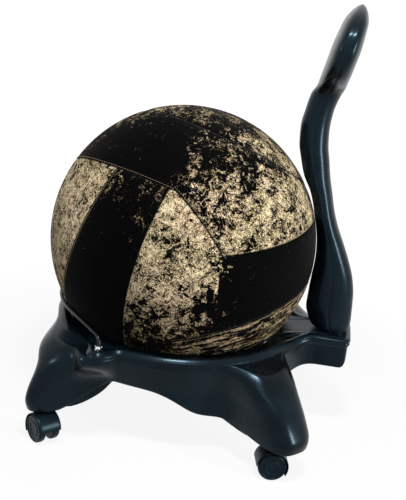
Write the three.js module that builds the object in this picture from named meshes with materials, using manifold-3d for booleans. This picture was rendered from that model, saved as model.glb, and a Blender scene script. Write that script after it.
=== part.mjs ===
import * as THREE from 'three';
import { mergeVertices } from 'three/addons/utils/BufferGeometryUtils.js';
import Module from 'manifold-3d';

// Balance ball chair in millimetres. +Z is up, the chair faces -Y and the sitter's left is +X.
// The pieces are placed about the ball's upright axis, and the whole chair then moves along Y,
// so that the origin lies on the floor midway between the front of the ball and the end of the tab.

// Fits and walls
const fitGap = 0.3;
const cutOverrun = 6;
const wall = 4;

// Castors
const wheelRadius = 25;
const wheelWidth = 13;
const wheelChamfer = 2;
const wheelDish = 1.5;
const wheelCap = 3;
const wheelSideGap = 0.6;
const webHalfThickness = 6.8;
const hoodGap = 1.6;
const hoodWall = 1.8;
const hoodTilt = THREE.MathUtils.degToRad(18);
const axleRadius = 3.5;
const axleBed = 3.5;
const castorTrail = 15;
const stemRadius = 5.5;
const stemDepth = 27;
const stemLength = 60;
const hubRadius = 11;
const hubStep = 1.5;
const sleeveWall = 1.7;
const sleeveFlangeRadius = 11;
const sleeveFlangeThickness = 1.5;

// Ring of the base
const ringTopHeight = 178;
const seatCircleRadius = 202;
const seatDrop = 2;
const seatDepth = 16;
const seatClearance = 0.5;
const rimWidth = 42;
const frontFlat = 16;
const beadRise = 3.4;
const beadWidth = 11;
const beadShoulder = 2.5;
const lipDepth = 8;
const wallDrop = 12;
const archDrop = 62;
const skirtLean = 14;
const skirtDroop = 44;
const flangeOverhang = 17;
const innerWallDrop = 31;
const ribThickness = 4;

// Legs, with angles in plan measured from the front
const frontLegAngle = THREE.MathUtils.degToRad(52.3);
const rearLegAngle = THREE.MathUtils.degToRad(134.7);
const frontStemOut = 67;
const rearStemOut = 97;
const frontShoulder = 61;
const rearShoulder = 58;
const frontShoulderDrop = 3;
const rearShoulderDrop = 10;
const shoulderRoll = 9;
const frontFlare = 38;
const rearFlare = 78;
const frontInnerReach = 70;
const rearInnerReach = 100;
const socketBossRadius = 12.5;

// Bosses, front bar and its nuts
const bossAngle = THREE.MathUtils.degToRad(69);
const bossOut = 14;
const bossBulge = 35;
const bossRise = 2;
const bossDepth = 22;
const bossHold = 14;
const bossFade = 75;
const bossTubeRadius = 11;
const barRadius = 3.5;
const barRise = 26;
const barTail = 14;
const barBend = 18;
const barBallGap = 0.8;
const nutAcrossFlats = 13;
const nutThickness = 7;
const washerThickness = 1.6;
const washerRadius = 9;

// Ball, bladder and cover
const coverRadius = 251;
const coverThickness = 2.5;
const bladderThickness = 2;
const coverMouthRadius = 85;
const hemCordRadius = 2.6;
const valveBoreRadius = 5;
const plugFlangeRadius = 9;
const plugFlangeThickness = 1.6;
const plugGripLength = 7;

// Rear tab
const tabHalfWidth = 50;
const tabOverhang = 88;
const tabNeck = 64;
const tabRise = 10;
const tabDepth = 47;
const tabCorner = 15;
const tabRampStart = 20;
const tabRampLength = 38;
const tabSpread = THREE.MathUtils.degToRad(26.6);

// Backrest post and pad
const backHeight = 598;
const backRun = 150;
const padHalfWidth = 120;
const shellWall = 3.5;
const postBallGap = 2;
const supportHalfWidth = 15;
const supportThickness = 6;
const supportHeight = 405;
const plateThickness = 6;
const boltRadius = 4;
const boltHeadRadius = 7;
const boltHeadHeight = 5.5;
const boltSpread = 12;
const boltClearance = 0.4;
const boltBossRadius = 9;
const boltBossDepth = 45;
const boltTip = 2;
const collarRadius = 7;
const collarHeight = 7;

// Counts of faces
const ballSides = 28;
const ballBands = 11;
const mouthBands = 3;
const wheelSides = 16;
const roundSides = 12;
const smallSides = 8;

// Places worked out from the sizes above
const hoodRadius = wheelRadius + hoodGap + hoodWall;
const hubTop = wheelRadius + hoodRadius + hubStep;
const footHeight = hubTop + sleeveFlangeThickness + 2 * fitGap;
const stemLow = hubTop - stemDepth;
const stemTop = stemLow + stemLength;
const sleeveBore = stemRadius + fitGap;
const sleeveRadius = sleeveBore + sleeveWall;
const wheelStart = webHalfThickness + wheelSideGap;
const castorHalfWidth = wheelStart + wheelWidth;
const lipRadius = seatCircleRadius + rimWidth;
const seatTopHeight = ringTopHeight - seatDrop;
const innerWallHeight = ringTopHeight - innerWallDrop;
const archHeight = ringTopHeight - archDrop;
const seatSphereRadius = coverRadius + seatClearance;
const ballCentreHeight =
  seatTopHeight + Math.sqrt(seatSphereRadius ** 2 - seatCircleRadius ** 2);
const bladderRadius = coverRadius - coverThickness - fitGap;
const tabReach = coverRadius + tabOverhang;
const tabTopHeight = ringTopHeight + tabRise;
const tabLowHeight = ringTopHeight - tabDepth;
const tabFrom = Math.PI - tabSpread;
const bossReach = lipRadius + bossOut;
const bossTopHeight = ringTopHeight + bossRise;
const bossLow = ringTopHeight - bossDepth;
const barHeight = ringTopHeight + barRise;
const barLow = bossLow - barTail;

const wasm = await Module();
wasm.setup();

const plastic = (colour, roughness) =>
  new THREE.MeshStandardMaterial({ color: colour, roughness, metalness: 0 });
const metal = (colour, roughness) =>
  new THREE.MeshStandardMaterial({ color: colour, roughness, metalness: 1 });
const framePlastic = () => plastic(0x12161b, 0.38);
const castorPlastic = () => plastic(0x0d0f12, 0.42);
const chrome = () => metal(0xd8dde2, 0.12);
const steel = () => metal(0x8f9499, 0.35);
const blackSteel = () => metal(0x16181b, 0.4);
const velvet = () => plastic(0x7d673c, 0.95);
const rubber = () => plastic(0x3b4650, 0.6);

const chair = new THREE.Group();
chair.position.y = (coverRadius - tabReach) / 2;

// A closed geometry with shared corners and without the empty triangles that a pole leaves.
function closed(geometry) {
  const bare = geometry.clone();
  bare.deleteAttribute('normal');
  bare.deleteAttribute('uv');
  const merged = mergeVertices(bare);
  const kept = [];
  const index = merged.index.array;
  for (let i = 0; i < index.length; i += 3) {
    const [a, b, c] = [index[i], index[i + 1], index[i + 2]];
    if (a !== b && b !== c && c !== a) kept.push(a, b, c);
  }
  merged.setIndex(kept);
  return merged;
}

function toSolid(geometry) {
  const merged = closed(geometry);
  return new wasm.Manifold(
    new wasm.Mesh({
      numProp: 3,
      vertProperties: new Float32Array(merged.attributes.position.array),
      triVerts: new Uint32Array(merged.index.array),
    }),
  );
}

function fromSolid(solid) {
  const mesh = solid.getMesh();
  const geometry = new THREE.BufferGeometry();
  geometry.setAttribute('position', new THREE.BufferAttribute(mesh.vertProperties, 3));
  geometry.setIndex(new THREE.BufferAttribute(mesh.triVerts, 1));
  return geometry;
}

function piece(name, geometry, material, parent = chair) {
  const shaded = closed(geometry);
  shaded.computeVertexNormals();
  const mesh = new THREE.Mesh(shaded, material);
  mesh.name = name;
  parent.add(mesh);
  return mesh;
}

// A shape of revolution about Z. Its profile runs up the outside and down the inside.
function turned(profile, sides) {
  const points = profile.map(([radius, height]) => new THREE.Vector2(radius, height));
  return new THREE.LatheGeometry(points, sides).rotateX(Math.PI / 2);
}

function rod(radius, low, high, sides = roundSides) {
  return turned([[0, low], [radius, low], [radius, high], [0, high]], sides);
}

function tube(inner, outer, low, high, sides = roundSides) {
  return turned([[inner, low], [outer, low], [outer, high], [inner, high], [inner, low]], sides);
}

function meshed(points, index) {
  const geometry = new THREE.BufferGeometry();
  const positions = points.flatMap((point) => [point.x, point.y, point.z]);
  geometry.setAttribute('position', new THREE.Float32BufferAttribute(positions, 3));
  geometry.setIndex(index);
  return geometry;
}

// Outlines of equal length joined in order. They close on the first one as a ring does,
// or end in two caps. Each outline runs counterclockwise seen from the side it heads for.
function lofted(outlines, ring = false) {
  const around = outlines[0].length;
  const index = [];
  const last = outlines.length - 1;
  for (let i = 0; i < (ring ? last + 1 : last); i++) {
    const above = ((i + 1) % outlines.length) * around;
    for (let j = 0; j < around; j++) {
      const next = (j + 1) % around;
      const [a, b, c, d] = [i * around + j, i * around + next, above + next, above + j];
      index.push(a, b, c, a, c, d);
    }
  }
  for (let j = 1; j + 1 < around && !ring; j++) {
    index.push(0, j + 1, j);
    index.push(last * around, last * around + j, last * around + j + 1);
  }
  return meshed(outlines.flat(), index);
}

const ramp = (from, to, value) => THREE.MathUtils.smoothstep(value, from, to);
const mix = THREE.MathUtils.lerp;
const hump = (offset, width, power) => Math.exp(-((Math.abs(offset) / width) ** power));
const heading = (angle) => new THREE.Vector2(Math.sin(angle), -Math.cos(angle));

function fromTable(shares, share) {
  const place = THREE.MathUtils.clamp(share, 0, 1) * (shares.length - 1);
  const low = Math.min(Math.floor(place), shares.length - 2);
  return mix(shares[low], shares[low + 1], place - low);
}

// Ball: bladder, plug, cover and hem cord

// The ball's faces have an edge where it rests in the ring, and the bladder's follow the cover's.
const mouthAngle = Math.asin(coverMouthRadius / coverRadius);
const valveAngle = Math.asin(valveBoreRadius / bladderRadius);
const restAngle = Math.acos((ballCentreHeight - seatTopHeight + seatDepth / 2) / seatSphereRadius);

function arc(radius, angles) {
  const place = (angle) => [radius * Math.sin(angle), ballCentreHeight - radius * Math.cos(angle)];
  return angles.map((angle) => (angle < Math.PI ? place(angle) : [0, ballCentreHeight + radius]));
}

const split = (from, to, count) => Array.from({ length: count }, (_, i) => mix(from, to, i / count));
const lowAngles = split(valveAngle, mouthAngle, mouthBands);
const coverAngles = [
  ...split(mouthAngle, restAngle, mouthBands),
  ...split(restAngle, Math.PI, ballBands),
  Math.PI,
];

function shell(radius, thickness, angles) {
  const outside = arc(radius, angles);
  const inside = arc(radius - thickness, [...angles].reverse());
  return turned([...outside, ...inside, outside[0]], ballSides);
}

function valvePlug() {
  const face = ballCentreHeight - bladderRadius - fitGap;
  const gripRadius = valveBoreRadius - fitGap;
  const low = face - plugFlangeThickness;
  const profile = [[0, low], [plugFlangeRadius, low], [plugFlangeRadius, face]];
  profile.push([gripRadius, face], [gripRadius, face + plugGripLength], [0, face + plugGripLength]);
  return turned(profile, roundSides);
}

function hemCord() {
  const reach = bladderRadius + fitGap + hemCordRadius;
  const angle = mouthAngle - (hemCordRadius + fitGap) / reach;
  const height = ballCentreHeight - reach * Math.cos(angle);
  const cord = new THREE.TorusGeometry(reach * Math.sin(angle), hemCordRadius, 6, ballSides);
  return cord.translate(0, 0, height);
}

piece('ball_bladder', shell(bladderRadius, bladderThickness, [...lowAngles, ...coverAngles]), rubber());
piece('valve_plug', valvePlug(), castorPlastic());
piece('ball_cover', shell(coverRadius, coverThickness, coverAngles), velvet());
piece('cover_hem_cord', hemCord(), castorPlastic());

// Base frame: a moulded channel, open below, whose section is carried round the plan outline.
// Angles in plan are measured from the front of the chair, round its left side to the tab.

const footHalfAngle = THREE.MathUtils.degToRad(5.5);
const legReachAngle = THREE.MathUtils.degToRad(22);
const droopPlaceAngle = THREE.MathUtils.degToRad(19);
const droopAngle = THREE.MathUtils.degToRad(16);
const innerLegAngle = THREE.MathUtils.degToRad(10);
const bossHalfAngle = THREE.MathUtils.degToRad(5.2);
const frontFlatAngle = THREE.MathUtils.degToRad(38);
const coarseStep = THREE.MathUtils.degToRad(6);
const legStep = THREE.MathUtils.degToRad(3);
const bossStep = THREE.MathUtils.degToRad(1.8);
const tabSteps = 10;

// Each leg's spreads are angles on the side towards the front and on the side towards the tab.
const legs = [
  {
    angle: frontLegAngle,
    shoulder: frontShoulder,
    shoulderDrop: frontShoulderDrop,
    shoulderSpread: [THREE.MathUtils.degToRad(17.3), THREE.MathUtils.degToRad(11)],
    shoulderPower: [2.5, 2.8],
    flare: frontFlare,
    flareSpread: [THREE.MathUtils.degToRad(5.5), THREE.MathUtils.degToRad(7)],
    flareShares: [0, 0.27, 0.5, 0.74, 0.96, 1, 0.8],
    innerReach: frontInnerReach,
    droop: 0,
    beadShare: 0,
  },
  {
    angle: rearLegAngle,
    shoulder: rearShoulder,
    shoulderDrop: rearShoulderDrop,
    shoulderSpread: [THREE.MathUtils.degToRad(8.5), THREE.MathUtils.degToRad(15.5)],
    shoulderPower: [2.6, 5],
    flare: rearFlare,
    flareSpread: [THREE.MathUtils.degToRad(6.5), THREE.MathUtils.degToRad(12.5)],
    flareShares: [0.17, 0.44, 0.63, 0.78, 0.9, 1, 0.92],
    innerReach: rearInnerReach,
    droop: skirtDroop,
    beadShare: 1,
  },
];
const ofSide = (pair, offset) => pair[offset < 0 ? 0 : 1];
const shoulderOf = (leg, angle) => {
  const offset = angle - leg.angle;
  return hump(offset, ofSide(leg.shoulderSpread, offset), ofSide(leg.shoulderPower, offset));
};
const flareOf = (leg, angle) => hump(angle - leg.angle, ofSide(leg.flareSpread, angle - leg.angle), 2);

// Height of the channel's lower edge: an arch between the legs, down to the feet.
function lowerEdge(angle) {
  let low = archHeight;
  for (const leg of legs) {
    const offset = angle - leg.angle;
    const away = ramp(footHalfAngle, legReachAngle, Math.abs(offset));
    low -= (archHeight - footHeight) * (1 - away);
    low -= leg.droop * away * hump(offset + droopPlaceAngle, droopAngle, 2);
  }
  return low + (tabLowHeight - archHeight) * ramp(tabFrom, tabFrom + tabSpread / 2, angle);
}

// The tab's edge in plan, from the round lip to the middle of the end face.
function tabEdge() {
  const start = heading(tabFrom).multiplyScalar(lipRadius);
  const slope = new THREE.Vector2(Math.cos(tabFrom), Math.sin(tabFrom));
  const knee = start.clone().addScaledVector(slope, (tabHalfWidth - start.x) / slope.x);
  const root = new THREE.Vector2(tabHalfWidth, tabReach - tabNeck);
  const corner = new THREE.Vector2(tabHalfWidth, tabReach);
  const cornerStart = new THREE.Vector2(tabHalfWidth, tabReach - tabCorner);
  const cornerEnd = new THREE.Vector2(tabHalfWidth - tabCorner, tabReach);
  const path = new THREE.CurvePath();
  path.add(new THREE.QuadraticBezierCurve(start, knee, root));
  path.add(new THREE.LineCurve(root, cornerStart));
  path.add(new THREE.QuadraticBezierCurve(cornerStart, corner, cornerEnd));
  path.add(new THREE.LineCurve(cornerEnd, new THREE.Vector2(0, tabReach)));
  return path;
}

// Stations round the left half, from the middle of the front to the middle of the tab.
// Each holds its lip, with the boss, and its edge, with the legs' shoulders, and their sides.
function stations() {
  const list = [];
  const near = (places, span) => (angle) => places.some((place) => Math.abs(angle - place) < span);
  const nearLeg = near(legs.map((leg) => leg.angle), droopPlaceAngle);
  const nearBoss = near([bossAngle], 1.5 * bossHalfAngle);
  for (let angle = 0; angle < tabFrom - bossStep; ) {
    const out = heading(angle);
    const bump = bossBulge * hump(angle - bossAngle, bossHalfAngle, 4);
    const humps = legs.map((leg) => shoulderOf(leg, angle));
    const round = lipRadius - frontFlat * hump(angle, frontFlatAngle, 4);
    const shoulder = humps.reduce((sum, share, i) => sum + share * legs[i].shoulder, 0);
    const lip = out.clone().multiplyScalar(round + bump);
    const edge = out.clone().multiplyScalar(round + shoulder);
    list.push({ angle, bump, humps, lip, edge, tab: false });
    angle += nearBoss(angle) ? bossStep : nearLeg(angle) ? legStep : coarseStep;
  }
  const path = tabEdge();
  for (let i = 0; i <= tabSteps; i++) {
    const lip = path.getPointAt(i / tabSteps);
    const angle = mix(tabFrom, Math.PI, i / tabSteps);
    list.push({ angle, bump: 0, humps: [0, 0], lip, edge: lip.clone(), tab: true });
  }
  for (const key of ['lip', 'edge']) {
    const flip = (point) => new THREE.Vector2(-point.x, point.y);
    list.forEach((station, i) => {
      const before = i > 0 ? list[i - 1][key] : flip(list[1][key]);
      const after = i + 1 < list.length ? list[i + 1][key] : flip(list[i - 1][key]);
      const along = after.clone().sub(before).normalize();
      station[`${key}Side`] = new THREE.Vector2(along.y, -along.x);
    });
  }
  return list;
}

const seatRadius = (height) => Math.sqrt(seatSphereRadius ** 2 - (height - ballCentreHeight) ** 2);
const innerWallRadius = seatRadius(seatTopHeight - seatDepth) + flangeOverhang;

// One closed outline of the channel. A filled one has no hollow and trims what stands inside.
function section(station, filled) {
  const { angle, lip, edge, lipSide, edgeSide, bump, humps, tab } = station;
  const out = heading(angle);
  const low = lowerEdge(angle);
  const shoulderShare = Math.min(humps[0] + humps[1], 1);
  const shoulderDrop = humps.reduce((sum, share, i) => sum + share * legs[i].shoulderDrop, 0);
  const rampStart = lipRadius - tabRampStart;
  const tabShare = (y) => (tab ? ramp(rampStart, rampStart + tabRampLength, y) : 0);
  const lift = (y) => tabRise * tabShare(y);
  const plain = humps.reduce((share, own, i) => share - own * (1 - legs[i].beadShare), 1);
  const bead = beadRise * Math.max(plain, 0) * (1 - tabShare(lip.y));
  const wallTop =
    ringTopHeight + lift(edge.y) - mix(wallDrop, shoulderDrop + shoulderRoll, shoulderShare);
  const flares = legs.map((leg) => flareOf(leg, angle));
  const leans = legs.map((leg) => hump(angle - leg.angle, innerLegAngle, 4));
  const flareShare = Math.min(flares[0] + flares[1], 1);

  const rows = [];
  const add = (flat, height) => rows.push(new THREE.Vector3(flat.x, flat.y, height));
  const onLip = (inset) => lip.clone().addScaledVector(lipSide, -inset);
  const onWall = (height, inset) => {
    const depth = (wallTop - height) / (wallTop - footHeight);
    const lean = tab ? 0 : skirtLean * Math.min(2 * depth, 1) * (1 - flareShare);
    let stand = bump * (1 - ramp(bossHold, bossFade, wallTop - height));
    legs.forEach((leg, i) => {
      stand += flares[i] * leg.flare * fromTable(leg.flareShares, depth);
    });
    const place = edge.clone().addScaledVector(edgeSide, -lean - inset);
    return place.addScaledVector(out, stand);
  };
  const onInner = (height, inset) => {
    const depth = Math.max((innerWallHeight - height) / (innerWallHeight - footHeight), 0);
    const lean = legs.reduce((sum, leg, i) => sum + leans[i] * leg.innerReach, 0);
    return out.clone().multiplyScalar(innerWallRadius + inset + lean * depth);
  };

  const innerHeights = [low, mix(low, innerWallHeight, 0.5), innerWallHeight];
  innerHeights.forEach((height) => add(onInner(height, 0), height));
  for (const share of [1, 0]) {
    const height = seatTopHeight - seatDepth * share;
    add(out.clone().multiplyScalar(seatRadius(height)), height);
  }
  const top = (flat, drop) => add(flat, ringTopHeight + lift(flat.y) - drop);
  const rim = out.clone().multiplyScalar(seatCircleRadius + wall);
  const foot = onLip(beadWidth);
  const dish = rim.clone().lerp(foot, 0.55);
  top(rim, 0);
  top(dish, (beadRise / 2) * (1 - tabShare(dish.y)));
  top(foot, 0);
  top(onLip(beadWidth / 2), -bead);
  top(onLip(beadWidth / 8), -bead / 2);
  top(onLip(0), beadShoulder);
  const rolled = onWall(wallTop, shoulderRoll * shoulderShare);
  const shelf = onLip(0).lerp(rolled, 0.55);
  add(shelf, ringTopHeight + lift(lip.y) - mix((beadShoulder + lipDepth) / 2, shoulderDrop, shoulderShare));
  add(rolled, ringTopHeight + lift(lip.y) - mix(lipDepth, shoulderDrop + beadShoulder / 2, shoulderShare));
  for (const share of [0, 0.14, 0.32, 0.54, 0.78, 1]) {
    const height = mix(wallTop, low, share);
    add(onWall(height, 0), height);
  }
  if (!filled) {
    for (const share of [1, 0.6, 0.2]) {
      const height = mix(wallTop, low, share);
      add(onWall(height, wall), height);
    }
    const roof = ringTopHeight - lipDepth - wall;
    add(onWall(wallTop, shoulderRoll * shoulderShare + wall), wallTop - wall);
    add(foot, roof + lift(foot.y));
    add(onInner(innerWallHeight, wall), roof);
    add(onInner(innerWallHeight, wall), innerWallHeight);
    add(onInner(innerHeights[1], wall), innerHeights[1]);
    add(onInner(low, wall), low);
  }
  return rows;
}

function channel(filled) {
  const left = stations().map((station) => section(station, filled));
  const flip = (rows) => rows.map((point) => new THREE.Vector3(-point.x, point.y, point.z));
  const right = left.slice(1, -1).reverse().map(flip);
  return toSolid(lofted([...left, ...right], true));
}

const bossPlace = (side) => {
  const place = heading(bossAngle).multiplyScalar(bossReach);
  return [side * place.x, place.y];
};

const frontCastorTurn = THREE.MathUtils.degToRad(48);
const rearCastorTurn = THREE.MathUtils.degToRad(-78);
const castors = [
  ['front', 'left', frontLegAngle, frontStemOut, frontCastorTurn],
  ['front', 'right', -frontLegAngle, frontStemOut, Math.PI - frontCastorTurn],
  ['rear', 'left', rearLegAngle, rearStemOut, rearCastorTurn],
  ['rear', 'right', -rearLegAngle, rearStemOut, Math.PI - rearCastorTurn],
].map(([end, side, angle, beyond, turn]) => {
  const place = heading(angle).multiplyScalar(lipRadius + beyond);
  return { name: `${end}_${side}`, x: place.x, y: place.y, angle, turn };
});

// Outline of the post and pad, from the tab to the top. Heights are shares of the backrest's
// height, front and rear are shares of its run forward of the tab's end, and widths of the pad's.
const backShares = [
  { height: 0, front: 0.413, rear: 0.053, width: 0.225 },
  { height: 0.01, front: 0.513, rear: 0.033, width: 0.235 },
  { height: 0.036, front: 0.573, rear: 0.027, width: 0.246 },
  { height: 0.073, front: 0.613, rear: 0.033, width: 0.25 },
  { height: 0.125, front: 0.603, rear: 0.047, width: 0.25 },
  { height: 0.176, front: 0.583, rear: 0.087, width: 0.25 },
  { height: 0.235, front: 0.573, rear: 0.173, width: 0.25 },
  { height: 0.287, front: 0.58, rear: 0.267, width: 0.25 },
  { height: 0.336, front: 0.607, rear: 0.36, width: 0.25 },
  { height: 0.386, front: 0.67, rear: 0.433, width: 0.25 },
  { height: 0.437, front: 0.758, rear: 0.487, width: 0.25 },
  { height: 0.486, front: 0.863, rear: 0.54, width: 0.25 },
  { height: 0.536, front: 0.927, rear: 0.58, width: 0.25 },
  { height: 0.585, front: 0.973, rear: 0.62, width: 0.25 },
  { height: 0.635, front: 0.983, rear: 0.633, width: 0.25 },
  { height: 0.684, front: 0.953, rear: 0.617, width: 0.25 },
  { height: 0.735, front: 0.907, rear: 0.56, width: 0.258 },
  { height: 0.758, front: 0.853, rear: 0.52, width: 0.34 },
  { height: 0.782, front: 0.83, rear: 0.497, width: 0.6 },
  { height: 0.807, front: 0.807, rear: 0.473, width: 0.8 },
  { height: 0.841, front: 0.775, rear: 0.442, width: 0.942 },
  { height: 0.879, front: 0.741, rear: 0.408, width: 1 },
  { height: 0.918, front: 0.693, rear: 0.387, width: 0.95 },
  { height: 0.952, front: 0.647, rear: 0.373, width: 0.8 },
  { height: 0.978, front: 0.58, rear: 0.393, width: 0.575 },
  { height: 0.995, front: 0.51, rear: 0.429, width: 0.283 },
  { height: 1, front: 0.475, rear: 0.455, width: 0.1 },
];
const backFoot = tabTopHeight + fitGap;

const clearOfBall = (height) => {
  const square = (coverRadius + postBallGap) ** 2 - (height - ballCentreHeight) ** 2;
  return square > 0 ? Math.sqrt(square) : 0;
};

const backLevels = backShares.map((share) => {
  const height = backFoot + backHeight * share.height;
  const front = Math.max(tabReach - backRun * share.front, clearOfBall(height));
  const rear = tabReach - backRun * share.rear;
  const halfWidth = padHalfWidth * share.width;
  return { height, middle: (front + rear) / 2, halfDepth: (rear - front) / 2, halfWidth };
});

// A rounded outline of one level, drawn in from the outside by an inset.
function backOutline(level, inset, count, height = level.height) {
  const roundness = 2 / 2.4;
  return Array.from({ length: count }, (_, i) => {
    const angle = (2 * Math.PI * i) / count;
    const [c, s] = [Math.cos(angle), Math.sin(angle)];
    const x = Math.sign(c) * Math.abs(c) ** roundness * (level.halfWidth - inset);
    const y = Math.sign(s) * Math.abs(s) ** roundness * (level.halfDepth - inset);
    return new THREE.Vector3(x, level.middle + y, height);
  });
}

const boltPlaces = [-boltSpread, boltSpread].map((offset) => backLevels[0].middle + offset);
const boltBossLow = tabTopHeight - boltBossDepth;

function baseFrame() {
  let frame = channel(false);
  const filled = channel(true);
  const place = (geometry, x, y) => toSolid(geometry.translate(x, y, 0));
  const cuts = [];
  for (const { x, y, angle } of castors) {
    const boss = rod(socketBossRadius, footHeight, ringTopHeight);
    const reach = lipRadius - innerWallRadius + rearStemOut;
    const rib = new THREE.BoxGeometry(ribThickness, reach, ringTopHeight);
    rib.rotateZ(angle);
    rib.translate(0, 0, footHeight + 2 * wall + ringTopHeight / 2);
    frame = frame.add(place(boss, x, y).intersect(filled));
    frame = frame.add(place(rib, x, y).intersect(filled));
    const socketTop = stemTop + wall;
    cuts.push(place(rod(sleeveRadius + fitGap, footHeight - cutOverrun, socketTop), x, y));
  }
  for (const side of [1, -1]) {
    const [x, y] = bossPlace(side);
    frame = frame.add(place(rod(bossTubeRadius, bossLow, bossTopHeight), x, y));
    const bore = rod(barRadius + fitGap, bossLow - cutOverrun, bossTopHeight + cutOverrun);
    cuts.push(place(bore, x, y));
  }
  for (const y of boltPlaces) {
    const boss = rod(boltBossRadius, boltBossLow, tabTopHeight - wall / 2);
    frame = frame.add(place(boss, 0, y).intersect(filled));
    const bore = rod(boltRadius + boltClearance, boltBossLow - cutOverrun, tabTopHeight + cutOverrun);
    cuts.push(place(bore, 0, y));
  }
  for (const cut of cuts) frame = frame.subtract(cut);
  return fromSolid(frame);
}

piece('base_frame', baseFrame(), framePlastic());

// Front bar: up out of the left boss, round the front of the ball and down into the right boss

function swept(points, radius, sides) {
  const normal = new THREE.Vector3(1, 0, 0);
  const rings = points.map((point, i) => {
    const after = points[Math.min(i + 1, points.length - 1)];
    const along = after.clone().sub(points[Math.max(i - 1, 0)]).normalize();
    normal.addScaledVector(along, -normal.dot(along)).normalize();
    const across = along.clone().cross(normal);
    return Array.from({ length: sides }, (_, j) => {
      const angle = (2 * Math.PI * j) / sides;
      const place = point.clone().addScaledVector(normal, radius * Math.cos(angle));
      return place.addScaledVector(across, radius * Math.sin(angle));
    });
  });
  return lofted(rings);
}

function frontBar() {
  const clear = coverRadius + barRadius + barBallGap;
  const hoop = Math.sqrt(clear ** 2 - (ballCentreHeight - barHeight) ** 2);
  const [x, y] = bossPlace(1);
  const boss = new THREE.Vector3(x, y, barHeight);
  const meetAngle = bossAngle - Math.acos(hoop / bossReach);
  const onHoop = (angle) => {
    const flat = heading(angle).multiplyScalar(hoop);
    return new THREE.Vector3(flat.x, flat.y, barHeight);
  };
  const inward = onHoop(meetAngle).sub(boss).normalize();
  const bendStart = new THREE.Vector3(x, y, barHeight - barBend);
  const bendEnd = boss.clone().addScaledVector(inward, barBend);
  const bend = new THREE.QuadraticBezierCurve3(bendStart, boss, bendEnd).getPoints(5);
  const hoopSteps = 12;
  const half = [new THREE.Vector3(x, y, barLow), ...bend];
  for (let i = 0; i <= hoopSteps; i++) half.push(onHoop(meetAngle * (1 - i / hoopSteps)));
  const other = half.slice(0, -1).reverse();
  const right = other.map((point) => new THREE.Vector3(-point.x, point.y, point.z));
  return swept([...half, ...right], barRadius, smallSides);
}

function hexNut(low) {
  const corner = nutAcrossFlats / Math.sqrt(3);
  const flats = Array.from({ length: 6 }, (_, i) => heading((Math.PI * i) / 3));
  const shape = new THREE.Shape(flats.map((point) => point.multiplyScalar(corner)));
  const bore = new THREE.Path().absarc(0, 0, barRadius + fitGap, 0, 2 * Math.PI);
  shape.holes.push(bore);
  const nut = new THREE.ExtrudeGeometry(shape, {
    depth: nutThickness,
    bevelEnabled: false,
    curveSegments: roundSides,
  });
  return nut.translate(0, 0, low);
}

piece('front_bar', frontBar(), blackSteel());
for (const [name, side] of [['left', 1], ['right', -1]]) {
  const [x, y] = bossPlace(side);
  const washer = (low) => tube(barRadius + fitGap, washerRadius, low, low + washerThickness);
  const topWasherLow = bossTopHeight + fitGap;
  const lowWasherLow = bossLow - fitGap - washerThickness;
  const topNut = hexNut(topWasherLow + washerThickness + fitGap);
  const lockNut = hexNut(lowWasherLow - fitGap - nutThickness);
  piece(`${name}_bar_washer`, washer(topWasherLow).translate(x, y, 0), chrome());
  piece(`${name}_bar_nut`, topNut.translate(x, y, 0), chrome());
  piece(`${name}_lock_washer`, washer(lowWasherLow).translate(x, y, 0), steel());
  piece(`${name}_lock_nut`, lockNut.translate(x, y, 0), steel());
}

// Backrest: two half shells round a steel support that is bolted to the tab

function backShell(isFront) {
  const outer = toSolid(lofted(backLevels.map((level) => backOutline(level, 0, 20))));
  const hollows = backLevels.filter((level) => level.halfDepth > 2 * shellWall);
  const heights = hollows.map((level) => level.height);
  heights[0] = backFoot - cutOverrun;
  const rings = hollows.map((level, i) => backOutline(level, shellWall, 12, heights[i]));
  const shell = outer.subtract(toSolid(lofted(rings)));
  const far = tabReach * (isFront ? 1 : -1);
  const halves = backLevels.map(({ middle, height }, i) => {
    const line = middle + (isFront ? -fitGap : fitGap) / 2;
    const end = i === 0 ? -cutOverrun : i + 1 === backLevels.length ? cutOverrun : 0;
    const corners = [[-tabReach, line], [tabReach, line], [tabReach, line + far], [-tabReach, line + far]];
    const ring = corners.map(([x, y]) => new THREE.Vector3(x, y, height + end));
    return isFront ? ring : ring.reverse();
  });
  return fromSolid(shell.subtract(toSolid(lofted(halves))));
}

function supportBar() {
  const plateLow = backFoot;
  const plateTop = plateLow + plateThickness;
  const inset = shellWall + fitGap;
  const plate = [plateLow, plateTop].map((height) => backOutline(backLevels[0], inset, 12, height));
  const middleAt = (height) => {
    const i = backLevels.findIndex((level) => level.height >= height);
    const [a, b] = [backLevels[i - 1], backLevels[i]];
    return mix(a.middle, b.middle, (height - a.height) / (b.height - a.height));
  };
  const straightTop = plateTop + collarHeight + boltTip;
  const supportTop = plateLow + supportHeight;
  const heights = [plateLow + plateThickness / 2, straightTop];
  const between = backLevels.map((level) => level.height).slice(4);
  heights.push(...between.filter((height) => height < supportTop), supportTop);
  const rings = heights.map((height) => {
    const middle = height > straightTop ? middleAt(height) : backLevels[0].middle;
    const [w, d] = [supportHalfWidth, supportThickness / 2];
    const corners = [[-w, -d], [w, -d], [w, d], [-w, d]];
    return corners.map(([x, y]) => new THREE.Vector3(x, middle + y, height));
  });
  let support = toSolid(lofted(plate)).add(toSolid(lofted(rings)));
  for (const y of boltPlaces) {
    const collar = rod(collarRadius, plateTop - plateThickness / 2, plateTop + collarHeight);
    support = support.add(toSolid(collar.translate(0, y, 0)));
  }
  for (const y of boltPlaces) {
    const bore = rod(boltRadius + fitGap, plateLow - cutOverrun, straightTop + cutOverrun);
    support = support.subtract(toSolid(bore.translate(0, y, 0)));
  }
  return fromSolid(support);
}

piece('back_front_shell', backShell(true), framePlastic());
piece('back_rear_shell', backShell(false), framePlastic());
piece('back_support_bar', supportBar(), steel());

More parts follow.
